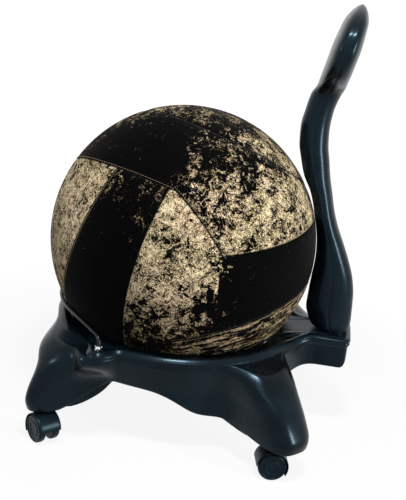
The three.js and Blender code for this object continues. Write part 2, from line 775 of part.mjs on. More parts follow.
['front', 'rear'].forEach((name, i) => {
  const y = boltPlaces[i];
  const washerLow = boltBossLow - fitGap - washerThickness;
  const headTop = washerLow - fitGap;
  const headLow = headTop - boltHeadHeight;
  const tip = backFoot + plateThickness + collarHeight + boltTip;
  const profile = [[0, headLow], [boltHeadRadius, headLow], [boltHeadRadius, headTop]];
  profile.push([boltRadius, headTop], [boltRadius, tip], [0, tip]);
  const washer = tube(boltRadius + fitGap, washerRadius, washerLow, washerLow + washerThickness);
  piece(`back_bolt_${name}`, turned(profile, roundSides).translate(0, y, 0), steel());
  piece(`back_bolt_washer_${name}`, washer.translate(0, y, 0), steel());
});

// Castors: a hooded body with a stem that turns in a sleeve in the foot, an axle and two wheels.
// Each is drawn with its stem on Z and its axle behind it along X, then turned and placed.

const acrossAxle = (geometry) => geometry.rotateX(-Math.PI / 2).translate(castorTrail, 0, wheelRadius);

function castorBody() {
  const disc = acrossAxle(rod(hoodRadius, -castorHalfWidth, castorHalfWidth, wheelSides));
  const hub = rod(hubRadius, wheelRadius, hubTop);
  let body = toSolid(disc).add(toSolid(hub));
  const low = axleRadius + axleBed;
  const under = new THREE.BoxGeometry(4 * hoodRadius, 4 * hoodRadius, 2 * hoodRadius);
  under.translate(0, 0, -low - hoodRadius).rotateY(-hoodTilt).translate(castorTrail, 0, wheelRadius);
  body = body.subtract(toSolid(under));
  const room = rod(wheelRadius + hoodGap, webHalfThickness, castorHalfWidth + cutOverrun, wheelSides);
  const otherRoom = room.clone().rotateX(Math.PI);
  const bore = rod(axleRadius + fitGap, -castorHalfWidth, castorHalfWidth, smallSides);
  const socket = rod(stemRadius + fitGap, stemLow - fitGap, hubTop + cutOverrun, smallSides);
  for (const cut of [acrossAxle(room), acrossAxle(otherRoom), acrossAxle(bore), socket]) {
    body = body.subtract(toSolid(cut));
  }
  return fromSolid(body);
}

function wheel(side) {
  const boreRadius = axleRadius + fitGap;
  const rimRadius = wheelRadius - wheelChamfer;
  const dishRadius = wheelRadius / 2;
  const profile = [[0, wheelWidth - wheelCap], [boreRadius, wheelWidth - wheelCap], [boreRadius, 0]];
  profile.push([rimRadius, 0], [wheelRadius, wheelChamfer], [wheelRadius, wheelWidth - wheelChamfer]);
  profile.push([rimRadius, wheelWidth], [dishRadius + wheelDish, wheelWidth]);
  profile.push([dishRadius, wheelWidth - wheelDish], [0, wheelWidth - wheelDish]);
  const shape = turned(profile, wheelSides).translate(0, 0, wheelStart);
  return acrossAxle(side > 0 ? shape : shape.rotateX(Math.PI));
}

for (const { name, x, y, turn } of castors) {
  const place = (geometry) => geometry.rotateZ(turn).translate(x, y, 0);
  const axleEnd = castorHalfWidth - wheelCap - fitGap;
  const sleeveLow = footHeight - fitGap - sleeveFlangeThickness;
  const sleeve = turned(
    [
      [sleeveBore, sleeveLow],
      [sleeveFlangeRadius, sleeveLow],
      [sleeveFlangeRadius, sleeveLow + sleeveFlangeThickness],
      [sleeveRadius, sleeveLow + sleeveFlangeThickness],
      [sleeveRadius, stemTop],
      [sleeveBore, stemTop],
      [sleeveBore, sleeveLow],
    ],
    roundSides,
  );
  const stem = rod(stemRadius, stemLow, stemTop, smallSides);
  const axle = acrossAxle(rod(axleRadius, -axleEnd, axleEnd, smallSides));
  piece(`${name}_castor_sleeve`, place(sleeve), steel());
  piece(`${name}_castor_stem`, place(stem), steel());
  piece(`${name}_castor_body`, place(castorBody()), castorPlastic());
  piece(`${name}_castor_axle`, place(axle), steel());
  piece(`${name}_castor_wheel_left`, place(wheel(1)), castorPlastic());
  piece(`${name}_castor_wheel_right`, place(wheel(-1)), castorPlastic());
}

export default chair;
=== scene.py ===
"""Looks of a balance ball chair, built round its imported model.

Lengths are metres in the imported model's frame: +Z is up, the chair faces -Y and the sitter's
left is +X.
"""
import logging
import math
from dataclasses import dataclass
from enum import Enum
from typing import Sequence

import bpy
import numpy as np
from mathutils import Matrix, Vector


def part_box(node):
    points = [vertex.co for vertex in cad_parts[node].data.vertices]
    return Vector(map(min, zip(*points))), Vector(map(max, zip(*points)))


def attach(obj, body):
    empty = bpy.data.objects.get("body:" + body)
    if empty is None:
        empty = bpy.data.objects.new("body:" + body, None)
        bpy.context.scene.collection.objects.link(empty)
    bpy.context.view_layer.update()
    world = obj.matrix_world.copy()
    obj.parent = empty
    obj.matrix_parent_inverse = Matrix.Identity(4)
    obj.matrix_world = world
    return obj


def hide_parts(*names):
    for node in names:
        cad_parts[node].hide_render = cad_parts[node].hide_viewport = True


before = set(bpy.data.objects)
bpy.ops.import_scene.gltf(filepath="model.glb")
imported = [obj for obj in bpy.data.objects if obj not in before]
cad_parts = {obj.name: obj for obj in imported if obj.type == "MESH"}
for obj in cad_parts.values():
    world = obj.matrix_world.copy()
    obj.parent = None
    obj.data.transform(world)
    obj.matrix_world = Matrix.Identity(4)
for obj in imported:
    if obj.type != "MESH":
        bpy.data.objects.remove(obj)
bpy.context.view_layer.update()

logging.basicConfig(level=logging.INFO, format="%(message)s")
log = logging.getLogger("chair")

Triple = tuple[float, float, float]
Colour = Triple
Span = tuple[float, float]

MM = 0.001
BALL_CENTRE = np.array([0.0, -0.044, 0.325827])
RING_CENTRE = BALL_CENTRE * [1, 1, 0]
COVER_RADIUS = 0.251
BACK_REACH = 339 * MM
BOSS_ANGLE = math.radians(69)
HANDS = (("left", 1), ("right", -1))
# A pair of castors: its end, the angle of its legs, how far past the lip its stems stand, and
# how far the left one is turned. Angles are in degrees.
CASTORS = (("front", 52.3, 67 * MM, 48.0), ("rear", 134.7, 97 * MM, -78.0))


# ---- plain functions of shape ------------------------------------------------------------

def ramp(low: float, high: float, value: np.ndarray) -> np.ndarray:
    """Smooth step of a value: 0 below low, 1 above high, and 3t^2 - 2t^3 between them."""
    t = np.clip((np.asarray(value, float) - low) / (high - low), 0.0, 1.0)
    return t * t * (3.0 - 2.0 * t)


def hump(offset: np.ndarray, width: np.ndarray, power: np.ndarray) -> np.ndarray:
    """A bell, e to the minus (|offset| / width)^power: round for 2, with a flat top for more."""
    return np.exp(-((np.abs(offset) / width) ** power))


def mix(low: np.ndarray, high: np.ndarray, share: np.ndarray) -> np.ndarray:
    """The value a share of the way from low to high."""
    return low + (high - low) * share


def unit(vectors: np.ndarray) -> np.ndarray:
    """Vectors over their own length."""
    return vectors / np.linalg.norm(vectors, axis=-1, keepdims=True)


def heading(angle: np.ndarray) -> np.ndarray:
    """Unit directions in plan, for angles measured from the front round the sitter's left."""
    return np.stack([np.sin(angle), -np.cos(angle)], axis=-1)


def around(count: int) -> np.ndarray:
    """Even angles round a circle, the first at 0."""
    return np.arange(count) * 2 * math.pi / count


def polar(radius: np.ndarray, angle: np.ndarray, height: np.ndarray) -> np.ndarray:
    """Points about Z: the radius times the angle's cosine and sine, at a height."""
    parts = np.broadcast_arrays(radius * np.cos(angle), radius * np.sin(angle), height)
    return np.stack(parts, axis=-1)


def parabola(start: np.ndarray, corner: np.ndarray, end: np.ndarray, t: np.ndarray) -> np.ndarray:
    """A bend pulled by a corner: (1-t)^2 of the start, 2t(1-t) of the corner, t^2 of the end."""
    return (1 - t) ** 2 * start + 2 * t * (1 - t) * corner + t**2 * end


def steady(places: np.ndarray, values: np.ndarray, where: np.ndarray) -> np.ndarray:
    """A smooth curve through a table that never overshoots it.

    Cubic pieces whose slopes are the harmonic mean of the neighbouring chords, and level where
    the chords turn round.

    Args:
        places: Rising places of the table.
        values: Its values.
        where: Places to read it at.

    Returns:
        The curve's values.
    """
    step = np.diff(places)
    chord = np.diff(values) / step
    slope = np.zeros_like(values)
    same = chord[:-1] * chord[1:] > 0
    total = np.where(same, chord[:-1] + chord[1:], 1.0)
    slope[1:-1] = np.where(same, 2 * chord[:-1] * chord[1:] / total, 0.0)
    slope[0], slope[-1] = chord[0], chord[-1]
    i = np.clip(np.searchsorted(places, where) - 1, 0, len(step) - 1)
    t = (where - places[i]) / step[i]
    return (
        (2 * t**3 - 3 * t**2 + 1) * values[i]
        + (t**3 - 2 * t**2 + t) * step[i] * slope[i]
        + (3 * t**2 - 2 * t**3) * values[i + 1]
        + (t**3 - t**2) * step[i] * slope[i + 1]
    )


def rounded(rows: np.ndarray, fillet: float | Sequence[float], points: int = 4) -> np.ndarray:
    """Closed outlines with their corners rounded.

    Each corner becomes a parabola that starts a fillet's length before it and ends as far
    behind it, and at most 0.47 of the way along either side.

    Args:
        rows: Corners, shaped (..., corners, axes).
        fillet: Length of the rounding, one for all or one for each corner.
        points: Points on each rounded corner.

    Returns:
        Points, shaped (..., corners x points, axes).
    """
    longest_share, least_span = 0.47, 1e-9
    cut = []
    for step in (1, -1):
        away = np.roll(rows, step, axis=-2) - rows
        span = np.maximum(np.linalg.norm(away, axis=-1), least_span)
        cut.append(rows + away * np.minimum(np.asarray(fillet) / span, longest_share)[..., None])
    start, corner, end = (c[..., None, :] for c in (cut[0], rows, cut[1]))
    curve = parabola(start, corner, end, np.linspace(0.0, 1.0, points)[:, None])
    return curve.reshape(*rows.shape[:-2], -1, rows.shape[-1])


class Skin:
    """A closed surface, or several, gathered as blocks of points and faces for one mesh."""

    def __init__(self) -> None:
        """Starts with nothing in it."""
        self.points: list[np.ndarray] = []
        self.quads: list[np.ndarray] = []
        self.tris: list[np.ndarray] = []
        self.count = 0

    def grid(self, rings: np.ndarray, loop: bool = False) -> "Skin":
        """Adds rings of points joined one to the next, facing outwards.

        Point j of ring i is joined to its neighbour in the ring and to point j of the next. An
        end ring is closed by a fan about its middle. The faces are turned over where the sum
        of the corners' triple products, six times the volume, comes out negative.

        Args:
            rings: Points, shaped (rings, points round each, 3).
            loop: Whether the last ring joins the first, which leaves no ends.

        Returns:
            This skin, so that calls can be chained.
        """
        n, m = rings.shape[:2]
        flat = rings.reshape(-1, 3)
        i = np.arange(n if loop else n - 1)[:, None]
        j = np.arange(m)[None, :]
        after, beside = ((i + 1) % n) * m, (j + 1) % m
        quads = [i * m + j, i * m + beside, after + beside, after + j]
        quads = np.stack(quads, axis=-1).reshape(-1, 4)
        tris = np.zeros((0, 3), int)
        if not loop:
            flat = np.vstack([flat, rings[0].mean(0), rings[-1].mean(0)])
            here, base = np.arange(m), (n - 1) * m
            beside = (here + 1) % m
            low = np.stack([np.full(m, n * m), beside, here], axis=-1)
            high = np.stack([np.full(m, n * m + 1), base + here, base + beside], axis=-1)
            tris = np.vstack([low, high])
        corners = np.vstack([quads[:, [0, 1, 2]], quads[:, [0, 2, 3]], tris])
        a, b, c = (flat[corners[:, k]] for k in range(3))
        if np.einsum("ij,ij->", a, np.cross(b, c)) < 0:
            quads, tris = quads[:, ::-1], tris[:, ::-1]
        self.points.append(flat)
        self.quads.append(quads + self.count)
        self.tris.append(tris + self.count)
        self.count += len(flat)
        return self

    def lathe(self, profile: np.ndarray, sides: int, place: Sequence[float]) -> "Skin":
        """Adds a closed outline of (radius, height) turned about an upright axis at a place."""
        ring = polar(profile[:, 0], around(sides)[:, None], profile[:, 1])
        return self.grid(ring + np.asarray(place, float), loop=True)

    def to_object(self, name: str, sharp: float = 35.0) -> bpy.types.Object:
        """Makes the mesh and its object, smooth apart from edges sharper than an angle.

        Args:
            name: The piece's name.
            sharp: Angle in degrees past which an edge stays crisp.

        Returns:
            The new object, at the origin.
        """
        points = np.vstack(self.points)
        quads, tris = np.vstack(self.quads), np.vstack(self.tris)
        corners = np.concatenate([quads.ravel(), tris.ravel()]).astype(np.int32)
        starts = [np.arange(len(quads)) * 4, len(quads) * 4 + np.arange(len(tris)) * 3]
        starts = np.concatenate(starts).astype(np.int32)
        mesh = bpy.data.meshes.new(name)
        mesh.vertices.add(len(points))
        mesh.loops.add(len(corners))
        mesh.polygons.add(len(starts))
        mesh.vertices.foreach_set("co", points.astype(np.float32).ravel())
        mesh.loops.foreach_set("vertex_index", corners)
        mesh.polygons.foreach_set("loop_start", starts)
        mesh.polygons.foreach_set("use_smooth", np.ones(len(starts), bool))
        mesh.update(calc_edges=True)
        mesh.validate()
        mesh.set_sharp_from_angle(angle=math.radians(sharp))
        made = bpy.data.objects.new(name, mesh)
        bpy.context.scene.collection.objects.link(made)
        return made

    def piece(self, name: str, material: bpy.types.Material, body: str, slot: str,
              node: str = "", sharp: float = 35.0) -> bpy.types.Object:
        """Makes a piece of the chair, with its finish, and ties it to the frame.

        Args:
            name: The piece's name.
            material: Its finish.
            body: The body that it rides on.
            slot: Not used; the name of the record's material slot.
            node: The node that it stands for, if it stands for one.
            sharp: Angle in degrees past which an edge stays crisp.

        Returns:
            The new object, at the origin.
        """
        made = self.to_object(name, sharp)
        made.data.materials.append(material)
        if node:
            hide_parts(node)
        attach(made, body)
        return made


# ---- shader nodes ------------------------------------------------------------------------

class Wire:
    """A number or colour in the shader. Numbers add and multiply like plain ones."""

    def __init__(self, graph: "Graph", socket: bpy.types.NodeSocket) -> None:
        """Keeps the graph that it belongs to and the socket that gives it."""
        self.graph, self.socket = graph, socket

    def __add__(self, other: object) -> "Wire":
        """The sum of two numbers."""
        return self.graph.math("ADD", self, other)

    def __sub__(self, other: object) -> "Wire":
        """The difference of two numbers."""
        return self.graph.math("SUBTRACT", self, other)

    def __mul__(self, other: object) -> "Wire":
        """The product of two numbers."""
        return self.graph.math("MULTIPLY", self, other)


Number = np.ndarray | Wire


class Graph:
    """The shader nodes of a material or of the world, wired by short calls."""

    def __init__(self, owner: bpy.types.Material | bpy.types.World) -> None:
        """Empties a node tree.

        Args:
            owner: The material or world that it belongs to.
        """
        owner.use_nodes = True
        self.tree = owner.node_tree
        self.tree.nodes.clear()

    def feed(self, socket: bpy.types.NodeSocket, value: object) -> None:
        """Sets a socket to a number, vector or colour, or joins a wire or an output to it.

        Args:
            socket: The input.
            value: What it gets. A colour is three numbers.
        """
        if isinstance(value, Wire):
            value = value.socket
        if isinstance(value, bpy.types.NodeSocket):
            self.tree.links.new(value, socket)
        else:
            socket.default_value = (*value, 1.0) if socket.type == "RGBA" else value

    def node(self, kind: str, inputs: dict[str | int, object] | None = None,
             **settings: object) -> bpy.types.Node:
        """Adds a node.

        Args:
            kind: Its type, without the prefix that all shader nodes share.
            inputs: What its inputs get, by name or number.
            **settings: Its other settings.

        Returns:
            The node.
        """
        made = self.tree.nodes.new(f"ShaderNode{kind}")
        for key, value in settings.items():
            setattr(made, key, value)
        for key, value in (inputs or {}).items():
            self.feed(made.inputs[key], value)
        return made

    def math(self, kind: str, *terms: object) -> Wire:
        """One sum over one number or two."""
        node = self.node("Math", dict(enumerate(terms)), operation=kind)
        return Wire(self, node.outputs[0])

    def step(self, value: object, low: float, high: float, ends: Span = (0.0, 1.0)) -> Wire:
        """A smooth step.

        Args:
            value: What it follows.
            low: Where it starts.
            high: Where it ends.
            ends: What it gives below the start and above the end.

        Returns:
            The step.
        """
        inputs = dict(enumerate((value, low, high, *ends)))
        node = self.node("MapRange", inputs, interpolation_type="SMOOTHSTEP")
        return Wire(self, node.outputs[0])

    def seen_white(self, plain: bpy.types.Node, white: bpy.types.Node,
                   share: Wire | None = None) -> bpy.types.NodeSocket:
        """One shader for the camera, mirrors and glass, which see white, and one for the rest.

        Args:
            plain: The shader that lights the object.
            white: The shader that is seen.
            share: How much of the white one is seen, where that isn't all.

        Returns:
            The mixed shader.
        """
        rays = self.node("LightPath").outputs
        seen = self.math("MAXIMUM", rays["Is Camera Ray"], rays["Is Glossy Ray"])
        seen = self.math("MAXIMUM", seen, rays["Is Transmission Ray"])
        if share is not None:
            seen = seen * share
        mixed = self.node("MixShader", {0: seen, 1: plain.outputs[0], 2: white.outputs[0]})
        return mixed.outputs[0]


class Pattern(Graph):
    """A material's nodes: one surface shader, fed by patterns on object coordinates."""

    def __init__(self, name: str) -> None:
        """Makes the material, its shader and its output.

        Args:
            name: The material's name.
        """
        self.material = bpy.data.materials.new(name)
        super().__init__(self.material)
        self.shader = self.node("BsdfPrincipled")
        self.output = self.node("OutputMaterial", {0: self.shader.outputs[0]})
        self.place = self.node("TexCoord").outputs["Object"]

    def surface(self, **values: object) -> bpy.types.Material:
        """Sets the surface shader's sockets, named with _ for a space.

        Args:
            **values: A number, colour or wire for each.

        Returns:
            The finished material.
        """
        for key, value in values.items():
            self.feed(self.shader.inputs[key.replace("_", " ")], value)
        return self.material

    def moved(self, scale: Sequence[float], turn: Sequence[float] = (0, 0, 0)) -> Wire:
        """Object coordinates, turned and scaled along each axis."""
        inputs = {"Vector": self.place, "Rotation": turn, "Scale": scale}
        return Wire(self, self.node("Mapping", inputs).outputs[0])

    def noise(self, scale: float, detail: float = 3.0, twist: float = 0.0, rough: float = 0.55,
              vector: Wire | None = None) -> Wire:
        """Smooth noise, from 0 to 1.

        Args:
            scale: Lumps to the metre.
            detail: How many finer layers it has.
            twist: How far it is distorted by itself.
            rough: How much each finer layer counts.
            vector: Where it is read, if not at the object coordinates.

        Returns:
            The noise.
        """
        inputs = {"Vector": vector or self.place, "Scale": scale, "Detail": detail,
                  "Distortion": twist, "Roughness": rough}
        return Wire(self, self.node("TexNoise", inputs).outputs[0])

    def blend(self, share: Wire, a: Colour | Wire, b: Colour | Wire) -> Wire:
        """One colour turning into another.

        Args:
            share: How far it has turned, from 0 to 1.
            a: The first colour.
            b: The other one.

        Returns:
            The colour.
        """
        node = self.node("Mix", data_type="RGBA")
        for socket, value in ((0, share), (6, a), (7, b)):
            self.feed(node.inputs[socket], value)
        return Wire(self, node.outputs[2])

    def bump(self, height: Wire, distance: float, strength: float,
             under: Wire | None = None) -> Wire:
        """Relief, as the surface's normal.

        Args:
            height: The relief's height, from 0 to 1.
            distance: How far a height of 1 stands out.
            strength: How much of it shows.
            under: Coarser or finer relief that it lies on.

        Returns:
            The normal.
        """
        inputs = {"Height": height, "Distance": distance, "Strength": strength}
        if under is not None:
            inputs["Normal"] = under
        return Wire(self, self.node("Bump", inputs).outputs[0])


def stepped(value: Number, low: float, high: float) -> Number:
    """A smooth step from 0 to 1, in an array or in the shader.

    Args:
        value: What it follows.
        low: Where it starts.
        high: Where it ends.

    Returns:
        The step.
    """
    if isinstance(value, Wire):
        return value.graph.step(value, low, high)
    return ramp(low, high, value)


def most(a: Number, b: Number) -> Number:
    """The larger of two numbers, in an array or in the shader."""
    return a.graph.math("MAXIMUM", a, b) if isinstance(a, Wire) else np.maximum(a, b)


def rest(share: Number) -> Number:
    """What a share leaves of 1."""
    return share * -1.0 + 1.0


def eased(a: Number | float, b: Number | float, share: Number) -> Number:
    """The number a share of the way from a to b, one of which may be plain."""
    return (a - b) * rest(share) + b if isinstance(b, float) else (b - a) * share + a


def darker(colour: Colour, share: float) -> Colour:
    """A share of a colour's light."""
    return tuple(share * part for part in colour)


# ---- finishes ----------------------------------------------------------------------------

@dataclass(frozen=True)
class MouldedPlastic:
    """Blue-black plastic with fine flow lines, a faint skin texture and a thin glossy film."""

    name: str
    colour: Colour = (0.0008, 0.0014, 0.002)
    pale: Colour = (0.0025, 0.006, 0.009)
    tint: Colour = (0.42, 0.76, 1.0)
    roughness: float = 0.27
    gloss: float = 0.16
    film: float = 0.05
    film_roughness: float = 0.12
    cloud: float = 9.0
    scuff: float = 70.0
    flow: Triple = (14.0, 14.0, 520.0)
    tilt: Triple = (0.0, 0.12, 0.0)
    skin: float = 1500.0
    grain: float = 0.012 * MM
    wave: float = 20.0
    wave_depth: float = 0.8 * MM
    streak_depth: float = 0.02 * MM

    def material(self) -> bpy.types.Material:
        """Builds the material.

        Clouds turn the colour paler. Flow lines darken it, roughen it and lie a little deeper.
        Small scuffs roughen it too.

        Returns:
            The material.
        """
        g = Pattern(self.name)
        cloud = g.noise(self.cloud, 4.0, 0.4)
        lines = g.noise(1.0, 2.0, 0.2, vector=g.moved(self.flow, self.tilt))
        streak = stepped(lines, 0.56, 0.70)
        scuff = stepped(g.noise(self.scuff, 6.0, 1.5, 0.7), 0.60, 0.75)
        shade = g.blend(stepped(cloud, 0.36, 0.66), self.colour, self.pale)
        shade = g.blend(streak * 0.7, shade, darker(self.colour, 0.35))
        rough = cloud * 0.10 + (self.roughness - 0.05) + streak * 0.05 + scuff * 0.04
        skin = g.bump(g.noise(self.skin, 2.0), self.grain, 0.5)
        wave = g.bump(g.noise(self.wave, 2.0), self.wave_depth, 0.3, skin)
        marks = g.bump(streak * -1.0, self.streak_depth, 0.5, wave)
        return g.surface(
            Base_Color=shade, Roughness=rough, Normal=marks, Specular_IOR_Level=self.gloss,
            Specular_Tint=self.tint, Coat_Normal=marks, Coat_Weight=self.film,
            Coat_Roughness=self.film_roughness,
        )


@dataclass(frozen=True)
class Metal:
    """Bright, brushed or blackened metal."""

    name: str
    colour: Colour
    roughness: float
    brushed: float = 0.0
    smudge: float = 160.0
    lines: Triple = (900.0, 900.0, 60.0)
    line_depth: float = 0.03 * MM

    def material(self) -> bpy.types.Material:
        """Builds the material: metal with smudges in its gloss and, if brushed, fine lines.

        Returns:
            The material.
        """
        g = Pattern(self.name)
        smudge = g.noise(self.smudge, 4.0, 0.6)
        lines = g.noise(1.0, 2.0, vector=g.moved(self.lines))
        rough = smudge * 0.16 + (self.roughness - 0.06) + lines * (0.2 * self.brushed)
        shade = g.blend(stepped(smudge, 0.45, 0.7), self.colour, darker(self.colour, 0.7))
        relief = g.bump(lines, self.line_depth, 0.2 + 0.5 * self.brushed)
        return g.surface(Base_Color=shade, Metallic=1.0, Roughness=rough, Normal=relief)


@dataclass(frozen=True)
class Rubber:
    """Matt rubbery skin of the bladder and its plug."""

    name: str
    colour: Colour
    cloud: float = 40.0
    pebble: float = 700.0
    pebble_depth: float = 0.2 * MM

    def material(self) -> bpy.types.Material:
        """Builds the material: soft mottling over a fine pebbled relief.

        Returns:
            The material.
        """
        g = Pattern(self.name)
        shade = g.blend(g.noise(self.cloud, 4.0), self.colour, darker(self.colour, 0.6))
        relief = g.bump(g.noise(self.pebble, 2.0), self.pebble_depth, 0.4)
        return g.surface(Base_Color=shade, Roughness=0.62, Normal=relief)


@dataclass(frozen=True)
class Thread:
    """Twisted sewing thread, tan with darker plies."""

    name: str
    colour: Colour = (0.42, 0.33, 0.20)
    twist: float = 2600.0
    twist_depth: float = 0.1 * MM

    def material(self) -> bpy.types.Material:
        """Builds the material: fine twist in the colour and the relief.

        Returns:
            The material.
        """
        g = Pattern(self.name)
        ply = g.noise(self.twist, 2.0, 0.5)
        shade = g.blend(stepped(ply, 0.4, 0.6), darker(self.colour, 0.45), self.colour)
        relief = g.bump(ply, self.twist_depth, 0.6)
        return g.surface(Base_Color=shade, Roughness=0.7, Normal=relief, Specular_IOR_Level=0.2)


@dataclass(frozen=True)
class Cut:
    """A plane through the ball, in metres from its centre."""

    normal: Triple
    offset: float

    def unit(self) -> np.ndarray:
        """The plane's unit normal."""
        return unit(np.array(self.normal))

    def distance(self, points: np.ndarray) -> np.ndarray:
        """How far points, relative to the ball's centre, lie on the plane's positive side."""
        return points @ self.unit() - self.offset

    def wired(self, graph: Graph, place: bpy.types.NodeSocket) -> Wire:
        """The same distance in the shader: place times the normal, less the offset.

        Args:
            graph: The material's nodes.
            place: The point, from the ball's centre.

        Returns:
            The distance.
        """
        inputs = {0: place, 1: tuple(self.unit())}
        node = graph.node("VectorMath", inputs, operation="DOT_PRODUCT")
        return Wire(graph, node.outputs["Value"]) - self.offset


class Seam(Enum):
    """The cover's seams as planes. Brow and slant meet at a corner and bound the top panel."""

    BROW = Cut((-0.3962, 0.2778, 0.8751), 0.0457)
    SLANT = Cut((-0.7035, 0.5783, 0.4131), -0.0797)
    LEFT = Cut((0.2678, 0.8974, -0.3507), -0.1019)
    MIDDLE = Cut((-0.2974, -0.9347, 0.1944), -0.0304)
    SHELF = Cut((0.0857, -0.054, 0.9949), 0.0615)
    SWEEP = Cut((-0.0501, 0.297, -0.9536), 0.1106)
    CROWN = Cut((-0.3368, 0.2955, 0.894), 0.1845)
    FRONT = Cut((-1.0, 0.0, 0.1), 0.012)
    FAR = Cut((-1.0, 0.0, 0.12), 0.112)
    FAR_FRONT = Cut((0.0, -1.0, 0.15), 0.07)
    FAR_REAR = Cut((0.0, 1.0, 0.15), 0.07)


RAGGED = Cut((-0.0174, -0.9462, 0.3232), -0.0875)
CORNER_Y = 0.004


@dataclass(frozen=True)
class Rise:
    """A share that goes smoothly from first to last between two places."""

    low: float
    high: float
    first: float
    last: float

    def at(self, number: Number) -> Number:
        """The share at each place."""
        risen = stepped(number, self.low, self.high) * (self.last - self.first)
        return risen + self.first if self.first else risen


@dataclass
class Panels:
    """Which panel a point of the cover is in, from the sides of the seams that it lies on.

    It works on arrays, for the mesh and the stitches, and on shader wires, for the colour.
    """

    side: dict[Seam, Number]
    ragged: Number
    forward: Number
    height: Number
    edge: float = 0.5 * MM

    TOP = Rise(-0.02, 0.085, 0.07, 0.50)
    TOP_REAR = Rise(0.09, 0.17, 0.0, 0.10)
    TOP_DARK = (Rise(0.14, 0.19, 0.0, 1.0), Rise(0.02, 0.07, 0.0, 0.24))
    TOP_RIM = (Rise(-0.10, 0.0, 0.0, 1.0), Rise(-0.06, 0.02, 0.0, 0.21))
    CROWN_FRONT = Rise(-0.16, 0.02, 0.10, 0.22)
    CROWN_REAR = Rise(0.04, 0.18, 0.0, 0.30)
    BLACK = Rise(-0.15, -0.01, 0.02, 0.19)
    GOLD = Rise(-0.17, 0.03, 0.26, 0.62)
    GOLD_HIGH = Rise(0.0, 0.12, 0.0, 0.06)
    LEFT = Rise(-0.16, 0.0, 0.48, 0.68)
    RIGHT = (Rise(-0.075, 0.0, 0.0, 1.0), Rise(0.015, 0.08, 0.0, 0.30))
    FAR_FRONT = Rise(-0.16, 0.05, 0.42, 0.82)
    FAR_REAR = Rise(-0.16, 0.05, 0.40, 0.74)
    FRONT_SHARE, RIGHT_SHARE, STRIP_SHARE, FAR_SHARE = 0.02, 0.06, 0.46, 0.04
    # Along Y: where the strip and the shelf's seam start, and where the slant's ends.
    STRIP_FROM, SHELF_FROM, SLANT_TO = 30 * MM, 103 * MM, 105 * MM

    def over(self, number: Number, wide: float = 0.0) -> Number:
        """1 on a cut's positive side and 0 on the other, with a narrow or a wider step."""
        half = wide or self.edge
        return stepped(number, -half, half)

    def above(self) -> Number:
        """1 in the top panels: over the brow, and behind its corner over the slant as well."""
        higher = most(self.side[Seam.BROW], self.side[Seam.SLANT])
        return self.over(eased(self.side[Seam.BROW], higher, self.over(self.forward - CORNER_Y)))

    def strip(self) -> Number:
        """1 in the gathered strip under the sweep, which starts a little behind the middle."""
        behind = self.over(self.forward - self.STRIP_FROM, 25 * MM)
        return self.over(self.side[Seam.SWEEP]) * behind

    def share(self) -> Number:
        """The share of gold nap, panel by panel.

        Each panel has a share that rises along Y or Z. The rises and the panels are laid one
        over the other, from the near side's lower panels to the far side.

        Returns:
            The share, from 0 to 1.
        """
        side, y, z = self.side, self.forward, self.height
        dark_high, dark_middle = self.TOP_DARK
        rim_side, rim_front = self.TOP_RIM
        right_edge, right_low = self.RIGHT
        top = self.TOP.at(y) + self.TOP_REAR.at(y) - dark_high.at(z) * dark_middle.at(y)
        crown = self.CROWN_FRONT.at(y) + self.CROWN_REAR.at(y)
        top = eased(top, crown, self.over(side[Seam.CROWN]))
        top = top + rim_side.at(side[Seam.FRONT]) * rim_front.at(y * -1.0)
        gold = self.GOLD.at(z) + self.GOLD_HIGH.at(z)
        left = eased(self.LEFT.at(z), self.FRONT_SHARE, self.over(side[Seam.FRONT]))
        share = eased(gold, self.BLACK.at(side[Seam.BROW]), self.over(side[Seam.MIDDLE]))
        share = eased(share, left, self.over(side[Seam.LEFT] * -1.0))
        share = eased(share, top, self.above())
        right = right_edge.at(self.ragged) * right_low.at(z * -1.0) + self.RIGHT_SHARE
        under = self.over(side[Seam.SHELF] * -1.0) * self.over(self.ragged * -1.0, 9 * MM)
        share = eased(share, right, under)
        share = eased(share, self.STRIP_SHARE, self.strip())
        far = eased(self.FAR_SHARE, self.FAR_FRONT.at(z), self.over(side[Seam.FAR_FRONT]))
        far = eased(far, self.FAR_REAR.at(z), self.over(side[Seam.FAR_REAR]))
        return eased(share, far, self.over(side[Seam.FAR]))

    def sewn(self) -> dict[Seam, Number | float]:
        """Where each seam is really sewn, as each runs only from one seam to another.

        Returns:
            1 along the sewn part of each seam and 0 elsewhere.
        """
        above, far, y = self.above(), self.over(self.side[Seam.FAR]), self.forward
        near = rest(far)
        below, behind = near * rest(above), self.over(y - CORNER_Y, 2 * MM)
        slant = self.over(y * -1.0 + self.SLANT_TO, 3 * MM) * self.over(self.height)
        return {
            Seam.BROW: near * rest(behind),
            Seam.SLANT: near * behind * slant,
            Seam.LEFT: below,
            Seam.MIDDLE: below,
            Seam.SHELF: near * self.over(y - self.SHELF_FROM, 3 * MM),
            Seam.SWEEP: near * self.over(y - self.STRIP_FROM, 10 * MM),
            Seam.CROWN: near * above,
            Seam.FRONT: below * self.over(self.side[Seam.LEFT] * -1.0),
            Seam.FAR: 1.0,
            Seam.FAR_FRONT: far,
            Seam.FAR_REAR: far,
        }


def panels_at(points: np.ndarray) -> Panels:
    """The panels at points relative to the ball's centre."""
    side = {seam: seam.value.distance(points) for seam in Seam}
    return Panels(side, RAGGED.distance(points), points[..., 1], points[..., 2])


